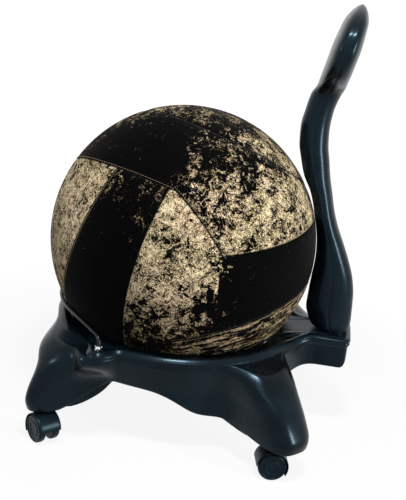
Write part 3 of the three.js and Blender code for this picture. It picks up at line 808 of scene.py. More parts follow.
@dataclass(frozen=True)
class CrushedVelvet:
    """Crushed velvet patchwork: antique gold and black nap, flecked apart panel by panel."""

    name: str
    black: Colour = (0.0012, 0.0011, 0.0012)
    umber: Colour = (0.030, 0.019, 0.010)
    brown: Colour = (0.14, 0.088, 0.042)
    olive: Colour = (0.36, 0.28, 0.125)
    rose: Colour = (0.60, 0.42, 0.25)
    pale: Colour = (0.90, 0.77, 0.53)
    blot: float = 30.0
    fleck: float = 88.0
    curl: float = 260.0
    grain: float = 760.0
    wide: float = 12.0
    fray: float = 58.0
    gather_across: float = 210.0
    gather_along: float = 28.0
    brown_from: Span = (0.435, 0.475)
    tint_from: Span = (0.465, 0.515)
    pale_from: Span = (0.52, 0.575)
    nap_from: Span = (-0.010, 0.016)
    seam_line: Span = (0.4 * MM, 2.4 * MM)
    seam_shade: float = 0.94
    nap_height: float = 1.0 * MM
    curl_height: float = 1.6 * MM
    grain_height: float = 0.6 * MM
    sheen: float = 0.06
    sheen_tint: Colour = (0.85, 0.82, 0.75)

    def material(self) -> bpy.types.Material:
        """Builds the material.

        The panels give the share of gold at each point. Flecks of two sizes are compared with
        it, so that gold breaks up into black as the share falls. Within the gold, finer flecks
        run from umber through olive or rose to pale tips, and their tone is darkened towards the
        bottom of the ball as painted shade. Seams are narrow dents with shade in them.

        Returns:
            The material, with colour, sheen and a crushed relief.
        """
        g = Pattern(self.name)
        inputs = {0: g.place, 1: tuple(BALL_CENTRE)}
        place = g.node("VectorMath", inputs, operation="SUBTRACT").outputs[0]
        axes = g.node("SeparateXYZ", {0: place}).outputs
        side = {seam: seam.value.wired(g, place) for seam in Seam}
        frayed = g.noise(self.fray, 4.0, 0.3, 0.62) * 0.15 - 0.075
        ragged = RAGGED.wired(g, place) + frayed
        panels = Panels(side, ragged, Wire(g, axes[1]), Wire(g, axes[2]))
        share = panels.share()

        run = g.node("CombineXYZ", {
            0: side[Seam.SWEEP] * self.gather_across, 1: side[Seam.FRONT] * self.gather_along,
            2: side[Seam.FAR_REAR] * self.gather_along,
        })
        gather = g.noise(1.0, 3.0, 0.8, 0.6, vector=Wire(g, run.outputs[0]))
        fleck = g.noise(self.fleck, 4.0, 1.2, 0.68)
        curl = g.noise(self.curl, 3.0, 2.6, 0.6)
        grain = g.noise(self.grain, 2.0, 0.6)
        lumps = g.noise(self.blot, 3.0, 0.5) * 0.28 + fleck * 0.52 + curl * 0.20
        lumps = eased(lumps, gather * 0.6 + fleck * 0.4, panels.strip())
        over = lumps - (share * -0.20 + rest(stepped(share, 0.02, 0.16)) * 0.055 + 0.60)
        nap = stepped(over, *self.nap_from)

        # Painted shade: the gold's tone darkens towards the bottom of the ball, where the top
        # light leaves it in shade.
        low = stepped(panels.height * -1.0, -0.02, 0.20)
        dull = rest(stepped(share, 0.10, 0.34))
        lit = curl * 0.62 + grain * 0.38 + over * 0.60 - low * 0.04 - dull * 0.065 - 0.035
        tint = g.blend(stepped(g.noise(self.wide, 3.0, 0.8), 0.42, 0.60), self.olive, self.rose)
        gold = self.umber
        for tone, span in ((self.brown, self.brown_from), (tint, self.tint_from),
                           (self.pale, self.pale_from)):
            gold = g.blend(stepped(lit, *span), gold, tone)
        shade = g.blend(nap, self.black, gold)

        dent = None
        for seam, sewn in panels.sewn().items():
            line = rest(stepped(g.math("ABSOLUTE", side[seam]), *self.seam_line)) * sewn
            dent = line if dent is None else most(dent, line)
        shade = g.blend(dent * self.seam_shade, shade, self.black)
        relief = g.bump(nap, self.nap_height, 0.6)
        relief = g.bump(curl, self.curl_height, 0.5, relief)
        relief = g.bump(grain, self.grain_height, 0.5, relief)
        relief = g.bump(dent * -1.0, self.curl_height, 0.9, relief)
        return g.surface(
            Base_Color=shade, Roughness=0.85, Normal=relief, Specular_IOR_Level=0.02,
            Sheen_Weight=self.sheen, Sheen_Roughness=0.3, Sheen_Tint=self.sheen_tint,
        )


# ---- sub-assemblies ----------------------------------------------------------------------

@dataclass
class Studio:
    """The camera at the photograph's angle, a pale floor and soft light."""

    place: Triple = (1.6055, 0.1923, 0.8327)
    look: Triple = (-0.94397, -0.11591, -0.30902)
    roll: float = math.radians(6.02)
    lens: float = 64.15
    sensor: float = 36.0
    clip: Span = (0.05, 50.0)
    floor_half: float = 60.0
    floor_thickness: float = 0.02
    floor_grey: Colour = (0.55, 0.55, 0.55)
    floor_white: float = 1.04
    shadow_span: Span = (0.4, 1.1)
    shadow_share: Span = (0.86, 1.0)
    room: Colour = (0.85, 0.95, 1.0)
    room_light: float = 0.10
    aim: Triple = (0, 0, 0.35)
    lamps: tuple[tuple[str, Triple, Span, float], ...] = (
        ("overhead", (0.75, 0.15, 2.0), (0.4, 0.2), 35.0),
        ("front_window", (1.0, -1.7, 1.3), (0.3, 0.3), 8.0),
        ("rear_window", (0.75, 1.75, 0.62), (0.25, 0.8), 30.0),
    )

    def camera(self) -> None:
        """Makes the camera: its right axis is the level one turned up by the roll."""
        data = bpy.data.cameras.new("camera")
        data.sensor_width, data.lens = self.sensor, self.lens
        data.clip_start, data.clip_end = self.clip
        made = bpy.data.objects.new("camera", data)
        bpy.context.scene.collection.objects.link(made)
        ahead = Vector(self.look).normalized()
        level = ahead.cross(Vector((0, 0, 1))).normalized()
        over = level.cross(ahead)
        right = level * math.cos(self.roll) + over * math.sin(self.roll)
        axes = Matrix((right, right.cross(ahead), -ahead)).transposed()
        made.matrix_world = Matrix.Translation(Vector(self.place)) @ axes.to_4x4()
        bpy.context.scene.camera = made

    def floor(self) -> None:
        """Makes the floor: white to the camera but for the object's shadow, duller to the rest.

        The shadow shows most near the object: the white's share rises with the distance.
        """
        half = self.floor_half
        top = np.array([[-half, -half, 0], [half, -half, 0], [half, half, 0], [-half, half, 0]])
        made = Skin().grid(np.stack([top - [0, 0, self.floor_thickness], top])).to_object("floor")
        g = Pattern("floor")
        g.surface(Base_Color=self.floor_grey, Roughness=0.9, Specular_IOR_Level=0.1)
        glow = g.node("Emission", {"Strength": self.floor_white})
        away = g.node("VectorMath", {0: g.place}, operation="LENGTH").outputs["Value"]
        share = g.step(away, *self.shadow_span, self.shadow_share)
        g.feed(g.output.inputs[0], g.seen_white(g.shader, glow, share))
        made.data.materials.append(g.material)

    def lights(self) -> None:
        """Hangs a lamp overhead, one ahead and one behind, in a dim room that is seen white."""
        for name, place, (wide, long), power in self.lamps:
            data = bpy.data.lights.new(name, "AREA")
            data.shape, data.size, data.size_y, data.energy = "RECTANGLE", wide, long, power
            made = bpy.data.objects.new(name, data)
            made.location = place
            way = Vector(self.aim) - Vector(place)
            made.rotation_euler = way.to_track_quat("-Z", "Y").to_euler()
            bpy.context.scene.collection.objects.link(made)
        world = bpy.data.worlds.new("room")
        bpy.context.scene.world = world
        g = Graph(world)
        dim = g.node("Background", {0: self.room, 1: self.room_light})
        white = g.node("Background", {0: (1.0, 1.0, 1.0), 1: 1.0})
        g.node("OutputWorld", {0: g.seen_white(dim, white)})


@dataclass
class BallCover:
    """The sewn cover over the ball, gathered into a hemmed mouth underneath."""

    radius: float = 250.6 * MM
    thickness: float = 2.2 * MM
    mouth_radius: float = 85 * MM
    pole: float = 0.004
    columns: int = 400
    bands: int = 224
    lining_bands: int = 24
    seam_depth: float = 0.9 * MM
    seam_width: float = 6 * MM
    folds: int = 34
    fold_depth: float = 2.2 * MM
    fold_span: Span = (1.05, 0.45)
    fold_sway: tuple[float, int] = (2.0, 3)
    gather_depth: float = 1.6 * MM
    gather_pitch: float = 13 * MM
    gather_sway: tuple[Triple, ...] = ((5 * MM, 7, 1.0), (2.5 * MM, 17, 0.0))
    strip_edge: Span = (0.0, 12 * MM)
    strip_front: Span = (0.02, 0.08)
    strip_far: Span = (-0.17, -0.02)
    stitch_pitch: float = 4.8 * MM
    stitch_length: float = 3.3 * MM
    row_offset: float = 2.6 * MM
    row_foot: float = -0.19
    aside: Triple = (0.31, 0.52, 0.79)
    thread_radius: float = 0.42 * MM
    thread_sides: int = 6
    least_sewn: float = 0.6
    # Along a thread: the place, the thickness, and the height over the cover.
    thread: tuple[Triple, ...] = (
        (-1.0, 0.25, -0.6 * MM), (-0.7, 0.8, 0.2 * MM), (0.0, 1.0, 0.5 * MM),
        (0.7, 0.8, 0.2 * MM), (1.0, 0.25, -0.6 * MM),
    )
    cut: Span = (1.58, 0.785)
    cut_area: float = 0.80

    def sphere(self, angle: np.ndarray, radius: float) -> np.ndarray:
        """Rings of a sphere about the ball's centre, at angles from straight down."""
        return polar(np.sin(angle), around(self.columns), -np.cos(angle)) * radius

    def dents(self, outside: np.ndarray, angle: np.ndarray) -> np.ndarray:
        """How far the cover stands out of its sphere, which is never above 0.

        Seams are round dents. The gathered strip has wavy channels at a pitch along it. Folds
        about the mouth are a squared sine of the longitude that grows towards the mouth.

        Args:
            outside: Points of the sphere, from the ball's centre.
            angle: Their angle from straight down.

        Returns:
            The height at each point.
        """
        lon = around(self.columns)
        panels = panels_at(outside)
        height = np.zeros(outside.shape[:2])
        for seam, sewn in panels.sewn().items():
            height -= self.seam_depth * hump(panels.side[seam], self.seam_width, 2) * sewn
        sweep = panels.side[Seam.SWEEP]
        strip = ramp(*self.strip_edge, sweep) * ramp(*self.strip_front, outside[..., 1])
        strip = strip * ramp(*self.strip_far, -panels.side[Seam.FAR])
        sway = sum(size * np.sin(lon * waves + shift) for size, waves, shift in self.gather_sway)
        gather = 0.5 + 0.5 * np.sin((sweep + sway) * 2 * math.pi / self.gather_pitch)
        size, waves = self.fold_sway
        fold = np.sin(lon * self.folds + size * np.sin(waves * lon)) ** 2
        fold = ramp(*self.fold_span, angle) * fold
        return height - self.gather_depth * strip * gather**2 - self.fold_depth * fold

    def build(self) -> list[bpy.types.Object]:
        """Makes the cover.

        Its outside is a sphere on a grid of longitude and angle from the foot. Seams dent it and
        the gathers under the ball fold it inwards. It rolls into a hem and goes back up inside.

        Returns:
            The cover and its topstitching, riding on the ball.
        """
        start, end = math.asin(self.mouth_radius / self.radius), math.pi - self.pole
        angle = np.linspace(end, start, self.bands)[:, None]
        outside = self.sphere(angle, self.radius)
        outside = outside * (1 + self.dents(outside, angle) / self.radius)[..., None]
        angle = np.linspace(start, end, self.lining_bands)[:, None]
        lining = self.sphere(angle, self.radius - self.thickness)
        skin = Skin().grid(np.concatenate([outside, lining]) + BALL_CENTRE)
        velvet = CrushedVelvet("crushed_velvet").material()
        made = skin.piece("cover", velvet, "ball", "velvet", "ball_cover", sharp=80)
        sewing = self.stitches()
        return [made, sewing]

    def stitches(self) -> bpy.types.Object:
        """Makes the rows of topstitching, one beside each seam but the middle and the crown.

        Each seam's plane, moved over by the row's offset, cuts the ball in a circle. Short
        rounded threads lie end to end along it where the seam is really sewn.

        Returns:
            The threads in one mesh, riding on the ball.
        """
        place, thick, rise = np.array(self.thread).T
        lines = []
        for seam in [seam for seam in Seam if seam not in (Seam.MIDDLE, Seam.CROWN)]:
            normal = seam.value.unit()
            across = unit(np.cross(normal, self.aside))
            offset = seam.value.offset + self.row_offset
            reach = math.sqrt(self.radius**2 - offset**2)
            turn = around(int(2 * math.pi * reach / self.stitch_pitch))
            turn = turn[:, None, None] + (place * self.stitch_length / 2 / reach)[:, None]
            ring = np.cos(turn) * across + np.sin(turn) * np.cross(normal, across)
            line = normal * offset + reach * ring
            middle = line[:, len(place) // 2]
            sewn = panels_at(middle - normal * self.row_offset).sewn()[seam]
            lines.append(line[(sewn > self.least_sewn) & (middle[:, 2] > self.row_foot)])
        line = np.concatenate(lines)

        out = unit(line)
        wide = np.cross(out, unit(np.gradient(line, axis=1)))
        spin = around(self.thread_sides)[:, None]
        loop = np.cos(spin) * out[:, :, None] + np.sin(spin) * wide[:, :, None]
        rings = (line + out * rise[:, None])[:, :, None]
        rings = rings + (thick * self.thread_radius)[:, None, None] * loop + BALL_CENTRE
        skin = Skin()
        for stitch in rings:
            skin.grid(stitch)
        tan = Thread("sewing_thread").material()
        return skin.piece("cover_stitching", tan, "ball", "velvet", sharp=70)


@dataclass(frozen=True)
class Leg:
    """One leg of the base. A pair of values is for its sides towards the front and the tab."""

    angle: float
    shoulder: float
    shoulder_drop: float
    shoulder_spread: Span
    shoulder_power: Span
    flare: float
    flare_spread: Span
    flare_power: float
    flare_shares: tuple[float, ...]
    inner_reach: float
    droop: float
    bead_share: float

    def side(self, pair: Span, angle: np.ndarray) -> np.ndarray:
        """The value of a pair that holds on each angle's side of the leg."""
        return np.where(angle < self.angle, pair[0], pair[1])

    def shoulder_at(self, angle: np.ndarray) -> np.ndarray:
        """How much of the shoulder stands at an angle in plan, as a bell."""
        spread = np.radians(self.side(self.shoulder_spread, angle))
        return hump(angle - self.angle, spread, self.side(self.shoulder_power, angle))

    def flare_at(self, angle: np.ndarray) -> np.ndarray:
        """How much of the flare stands at an angle in plan, as a bell."""
        spread = np.radians(self.side(self.flare_spread, angle))
        return hump(angle - self.angle, spread, self.flare_power)


@dataclass
class BaseFrame:
    """The one-piece base: a channel, open below, carried round the ring, its legs and its tab.

    It is worked out about the ring's middle and moved there at the end. Its left half is made
    and mirrored.
    """

    wall: float = 4 * MM
    foot_height: float = 57.0 * MM
    ring_top: float = 178 * MM
    seat_radius: float = 202 * MM
    seat_drop: float = 2 * MM
    seat_depth: float = 16 * MM
    seat_sphere: float = 251.5 * MM
    lip_radius: float = 244 * MM
    front_flat: float = 16 * MM
    front_spread: float = math.radians(38)
    bead_rise: float = 5.4 * MM
    bead_width: float = 19 * MM
    bead_shoulder: float = 2.5 * MM
    groove: float = 2.2 * MM
    lip_depth: float = 8 * MM
    wall_drop: float = 12 * MM
    arch_drop: float = 62 * MM
    arch_span: Span = (math.radians(5.5), math.radians(22))
    droop_back: float = math.radians(19)
    droop_spread: float = math.radians(16)
    skirt_lean: float = 14 * MM
    overhang: float = 17 * MM
    inner_drop: float = 31 * MM
    inner_spread: float = math.radians(10)
    roll: float = 26 * MM
    boss_spread: float = math.radians(5.4)
    boss_bulge: float = 35 * MM
    boss_fade: Span = (6 * MM, 46 * MM)
    boss_out: float = 14 * MM
    boss_radius: float = 11 * MM
    boss_bore: float = 3.8 * MM
    boss_rise: float = 2 * MM
    boss_depth: float = 22 * MM
    tab_half: float = 50 * MM
    tab_neck: float = 64 * MM
    tab_rise: float = 10 * MM
    tab_start: float = 20 * MM
    tab_slope: float = 38 * MM
    tab_depth: float = 49 * MM
    tab_inset: float = 4 * MM
    tab_round: float = 16 * MM
    tab_corner: float = 15 * MM
    tab_from: float = math.pi - math.radians(26.6)
    # Where the left half is worked out. In front: start, end and step, in degrees. Behind: the
    # start, in degrees, and how many there are, up to a gap before the tab.
    front_stations: Triple = (0.0, 60.1, 1.2)
    boss_stations: Triple = (60.5, 77.6, 0.6)
    rear_stations: tuple[float, int] = (78.4, 66)
    tab_stations: int = 46
    tab_gap: float = 0.012
    outer_parts: tuple[float, ...] = (0, 0.14, 0.32, 0.54, 0.78, 1)
    inner_parts: tuple[float, ...] = (1, 0.6, 0.2)
    # Across the bead: the part of its width in from the lip, and the part of its height.
    bead_profile: tuple[Span, ...] = ((0.72, 1.0), (0.46, 0.9))
    legs: tuple[Leg, Leg] = (
        Leg(math.radians(CASTORS[0][1]), 61 * MM, 3 * MM, (17.3, 12.6), (2.5, 2.8),
            38 * MM, (5.5, 7), 2.0, (0, 0.27, 0.5, 0.74, 0.96, 1, 0.8), 70 * MM, 0.0, 0.0),
        Leg(math.radians(CASTORS[1][1]), 58 * MM, 10 * MM, (10.0, 15.5), (3.2, 4),
            78 * MM, (8.6, 12.5), 3.2, (0.17, 0.44, 0.63, 0.78, 0.9, 1, 0.92), 100 * MM,
            44 * MM, 1.0),
    )
    # Outlines as radius and height, in millimetres.
    socket: tuple[Span, ...] = ((12.5, 57), (12.5, 92), (7.9, 92), (7.9, 57))
    post: tuple[Span, ...] = ((9.0, 143), (9.0, 184), (4.4, 184), (4.4, 143))
    ring_fillet: float = 0.8 * MM
    bolt_places: Span = (292 * MM, 316 * MM)
    rib_half: float = 1.6 * MM
    rib_from: float = 11 * MM
    rib_to: float = 44 * MM
    rib_foot: float = 66 * MM
    rib_slope: float = 0.25
    rib_top: float = 96 * MM

    def lower_edge(self, angle: np.ndarray) -> np.ndarray:
        """Height of the channel's lower edge: an arch between the legs, down to the feet.

        Args:
            angle: Angles in plan.

        Returns:
            The height at each.
        """
        arch = self.ring_top - self.arch_drop
        low = np.full_like(angle, arch)
        for leg in self.legs:
            offset = angle - leg.angle
            away = ramp(*self.arch_span, np.abs(offset))
            low -= (arch - self.foot_height) * (1 - away)
            low -= leg.droop * away * hump(offset + self.droop_back, self.droop_spread, 2)
        halfway = (self.tab_from + math.pi) / 2
        return low + (self.arch_drop - self.tab_depth) * ramp(self.tab_from, halfway, angle)

    def tab_edge(self, count: int) -> np.ndarray:
        """The tab's edge in plan at even steps: a bend, a side, a round corner and half the end.

        Args:
            count: Points along it.

        Returns:
            Points, shaped (count, 2).
        """
        start = heading(self.tab_from) * self.lip_radius
        slope = np.array([math.cos(self.tab_from), math.sin(self.tab_from)])
        knee = start + slope * (self.tab_half - start[0]) / slope[0]
        root = np.array([self.tab_half, BACK_REACH - self.tab_neck])
        corner = np.array([self.tab_half, BACK_REACH])
        before, after = corner - [0, self.tab_corner], corner - [self.tab_corner, 0]
        t = np.linspace(0, 1, 60)[:, None]
        bends = [parabola(start, knee, root, t), parabola(before, corner, after, t)]
        path = np.vstack([*bends, [0.0, BACK_REACH]])
        run = np.append(0, np.cumsum(np.linalg.norm(np.diff(path, axis=0), axis=1)))
        where = np.linspace(0, run[-1], count)
        return np.stack([np.interp(where, run, path[:, k]) for k in range(2)], axis=-1)

    def stations(self) -> dict[str, np.ndarray]:
        """Places round the left half, each with its lip, its edge and their outward sides.

        The lip runs at its radius, less a flat bell at the front and more at the boss. The edge
        has the legs' shoulders instead of the boss. Behind, both follow the tab's edge. A side
        is the line's own direction turned outwards.

        Returns:
            Arrays by name: angle, tab, bump, humps, lip, edge, lip_side and edge_side.
        """
        rear, count = self.rear_stations
        steps = [np.arange(*self.front_stations), np.arange(*self.boss_stations)]
        behind = np.linspace(math.radians(rear), self.tab_from - self.tab_gap, count)
        angle = np.append(np.radians(np.concatenate(steps)), behind)
        bump = self.boss_bulge * hump(angle - BOSS_ANGLE, self.boss_spread, 3)
        humps = np.stack([leg.shoulder_at(angle) for leg in self.legs])
        plain = self.lip_radius - self.front_flat * hump(angle, self.front_spread, 4)
        shoulder = sum(share * leg.shoulder for share, leg in zip(humps, self.legs))
        tab, zeros = self.tab_edge(self.tab_stations), np.zeros(self.tab_stations)
        found = {
            "angle": np.append(angle, np.linspace(self.tab_from, math.pi, self.tab_stations)),
            "tab": np.append(np.zeros(len(angle)), np.ones(self.tab_stations)),
            "bump": np.append(bump, zeros),
            "humps": np.concatenate([humps, np.zeros((2, self.tab_stations))], axis=1),
        }
        flip = np.array([-1.0, 1.0])
        for key, extra in (("lip", bump), ("edge", shoulder)):
            line = np.vstack([heading(angle) * (plain + extra)[:, None], tab])
            longer = np.vstack([line[1] * flip, line, line[-2] * flip])
            along = unit(longer[2:] - longer[:-2])
            found[key] = line
            found[f"{key}_side"] = np.stack([along[:, 1], -along[:, 0]], axis=-1)
        return found

    def section(self, at: dict[str, np.ndarray]) -> tuple[np.ndarray, list[float]]:
        """The channel's outline at every station: inner wall, seat, rim, bead, shoulder and skirt.

        Args:
            at: What stations() gives.

        Returns:
            Corners, shaped (stations, corners, 3), and each corner's fillet.
        """
        angle, tab, humps, bump = at["angle"], at["tab"], at["humps"], at["bump"]
        lip, edge = at["lip"], at["edge"]
        out = heading(angle)
        past = np.clip((edge[:, 1] - BACK_REACH) / self.tab_round + 1, 0, 1)
        low = self.lower_edge(angle) + tab * self.tab_round * (1 - np.sqrt(1 - past**2))
        share = np.minimum(humps.sum(0), 1.0)
        drop = sum(own * leg.shoulder_drop for own, leg in zip(humps, self.legs))
        flush = sum(own * (1 - leg.bead_share) for own, leg in zip(humps, self.legs))
        flush = np.clip(flush, 0, 1)
        flares = [leg.flare_at(angle) for leg in self.legs]
        flare_share = np.minimum(sum(flares), 1.0)
        lean_in = sum(hump(angle - leg.angle, self.inner_spread, 4) * leg.inner_reach
                      for leg in self.legs)
        inner_top = self.ring_top - self.inner_drop
        seat_top = self.ring_top - self.seat_drop
        centre = seat_top + math.sqrt(self.seat_sphere**2 - self.seat_radius**2)
        rows: list[np.ndarray] = []
        fillets: list[float] = []

        def tab_share(y: np.ndarray) -> np.ndarray:
            """How far the tab has risen at a distance back, as a smooth step."""
            start = self.lip_radius - self.tab_start
            return tab * ramp(start, start + self.tab_slope, y)

        top = self.ring_top + self.tab_rise * tab_share(edge[:, 1])
        top = top - mix(self.wall_drop, drop + self.roll, share)

        def on_lip(inset: float) -> np.ndarray:
            """Places in plan inside the lip."""
            return lip - at["lip_side"] * inset

        def on_wall(height: np.ndarray, inset: np.ndarray | float) -> np.ndarray:
            """Places in plan on the outer wall, which leans in, bulges and flares with depth.

            Args:
                height: Height at each station.
                inset: How far inside the wall they are.

            Returns:
                The places, shaped (stations, 2).
            """
            depth = (top - height) / (top - self.foot_height)
            lean = self.skirt_lean * np.minimum(2 * depth, 1) * (1 - flare_share) * (1 - tab)
            stand = bump * (1 - ramp(*self.boss_fade, top - height))
            for own, leg in zip(flares, self.legs):
                steps = np.linspace(0, 1, len(leg.flare_shares))
                stand = stand + own * leg.flare * np.interp(depth, steps, leg.flare_shares)
            lean = lean + self.tab_inset * tab_share(edge[:, 1]) * ramp(0, 3 * MM, top - height)
            return edge - at["edge_side"] * (lean + inset)[:, None] + out * stand[:, None]

        def seat(height: float) -> float:
            """Radius of the seat, which lies on a sphere."""
            return math.sqrt(self.seat_sphere**2 - (height - centre) ** 2)

        inner_radius = seat(seat_top - self.seat_depth) + self.overhang

        def on_inner(height: np.ndarray | float, inset: float) -> np.ndarray:
            """Places in plan on the inner wall, which reaches out to each foot."""
            depth = np.maximum((inner_top - height) / (inner_top - self.foot_height), 0)
            return out * (inner_radius + inset + lean_in * depth)[:, None]

        def add(flat: np.ndarray, height: np.ndarray | float, fillet: float = 1.0) -> None:
            """Adds a corner to every station, by default rounded as far as its sides allow."""
            rows.append(np.column_stack([flat, np.broadcast_to(height, angle.shape)]))
            fillets.append(fillet)

        def cap(flat: np.ndarray, fall: np.ndarray | float, fillet: float = 1.0) -> None:
            """Adds a corner so far below the ring's top, which the tab lifts."""
            add(flat, self.ring_top + self.tab_rise * tab_share(flat[:, 1]) - fall, fillet)

        half = mix(low, inner_top, 0.5)
        add(on_inner(low, 0), low, 1.5 * MM)
        add(on_inner(half, 0), half)
        add(on_inner(inner_top, 0), inner_top, 2.5 * MM)
        for depth, fillet in ((self.seat_depth, 2 * MM), (0, 2.5 * MM)):
            add(out * seat(seat_top - depth), seat_top - depth, fillet)
        rim, foot = out * (self.seat_radius + self.wall), on_lip(self.bead_width)
        dish = mix(rim, foot, 0.55)
        cap(rim, 0, 3 * MM)
        cap(dish, self.bead_rise / 2 * (1 - flush) * (1 - tab_share(dish[:, 1])))
        cap(foot, 0)
        bead = self.bead_rise * (1 - flush) * (1 - tab_share(lip[:, 1]))
        for inset, part in self.bead_profile:
            cap(on_lip(self.bead_width * inset), -bead * part)
        cap(on_lip(self.bead_width * 0.06), mix(self.bead_shoulder, 0.2 * drop, flush))
        cap(on_lip(0), mix(self.bead_shoulder * 2, 0.3 * drop, flush))
        rolled = on_wall(top, mix(self.groove, self.roll, share))
        lifted = self.ring_top + self.tab_rise * tab_share(lip[:, 1])
        shelf_drop = mix((self.bead_shoulder + self.lip_depth) / 2, drop, share)
        add(mix(on_lip(0), rolled, 0.55), lifted - shelf_drop)
        add(rolled, lifted - mix(self.lip_depth, drop + self.bead_shoulder / 2, share))
        for parts, inset in ((self.outer_parts, 0.0), (self.inner_parts, self.wall)):
            for part in parts:
                height = mix(top, low, part)
                add(on_wall(height, inset), height, 1.5 * MM if part == 1 else 1.0)
        roof = self.ring_top - self.lip_depth - self.wall
        add(on_wall(top, self.roll * share + self.wall), top - self.wall, 3 * MM)
        add(foot, roof + self.tab_rise * tab_share(foot[:, 1]), 3 * MM)
        for height in (roof, inner_top):
            add(on_inner(inner_top, self.wall), height, 2 * MM)
        add(on_inner(half, self.wall), half)
        add(on_inner(low, self.wall), low, 1.5 * MM)
        return np.stack(rows, axis=1), fillets

    def stem(self, angle: float, beyond: float, side: int) -> np.ndarray:
        """Where a stem stands in plan, beyond the lip: side is 1 on the left, -1 on the right."""
        return heading(math.radians(angle)) * [side, 1] * (self.lip_radius + beyond)

    def rib(self, foot: np.ndarray) -> np.ndarray:
        """A thin upright web that runs inwards from a socket, with a lower edge that rises.

        Args:
            foot: Where the socket stands in plan.

        Returns:
            Rings along it, shaped (rings, 4, 3).
        """
        way = -unit(foot)
        across = np.array([-way[1], way[0]]) * self.rib_half
        run = np.linspace(self.rib_from, self.rib_to, 6)
        line = foot + way * run[:, None]
        low, high = self.rib_foot + self.rib_slope * run, np.full(6, self.rib_top)
        corners = ((-1, low), (1, low), (1, high), (-1, high))
        return np.stack([np.column_stack([line + s * across, z]) for s, z in corners], axis=1)

    def build(self, material: bpy.types.Material) -> bpy.types.Object:
        """Makes the base with its bosses, the sockets in its feet and the webs that stiffen them.

        Args:
            material: Its finish.

        Returns:
            The base, riding on the chair.
        """
        rows, fillets = self.section(self.stations())
        left = rounded(rows, fillets)
        right = left[1:-1][::-1] * np.array([-1.0, 1.0, 1.0])
        skin = Skin().grid(np.concatenate([left, right]), loop=True)
        base, tall = self.ring_top - self.boss_depth, self.ring_top + self.boss_rise
        collar = rounded(np.array([
            [self.boss_radius, base], [self.boss_radius, tall], [self.boss_bore, tall],
            [self.boss_bore, base],
        ]), MM, 5)
        x, y = heading(BOSS_ANGLE) * (self.lip_radius + self.boss_out)
        for _, side in HANDS:
            skin.lathe(collar, 40, (side * x, y, 0))
        socket, post = (rounded(np.array(ring) * MM, self.ring_fillet)
                        for ring in (self.socket, self.post))
        for _, angle, beyond, _ in CASTORS:
            for _, side in HANDS:
                foot = self.stem(angle, beyond, side)
                skin.lathe(socket, 32, (*foot, 0)).grid(self.rib(foot))
        for y in self.bolt_places:
            skin.lathe(post, 32, (0, y, 0))
        skin.points = [points + RING_CENTRE for points in skin.points]
        return skin.piece("base", material, "chair", "frame_plastic", "base_frame", sharp=50)


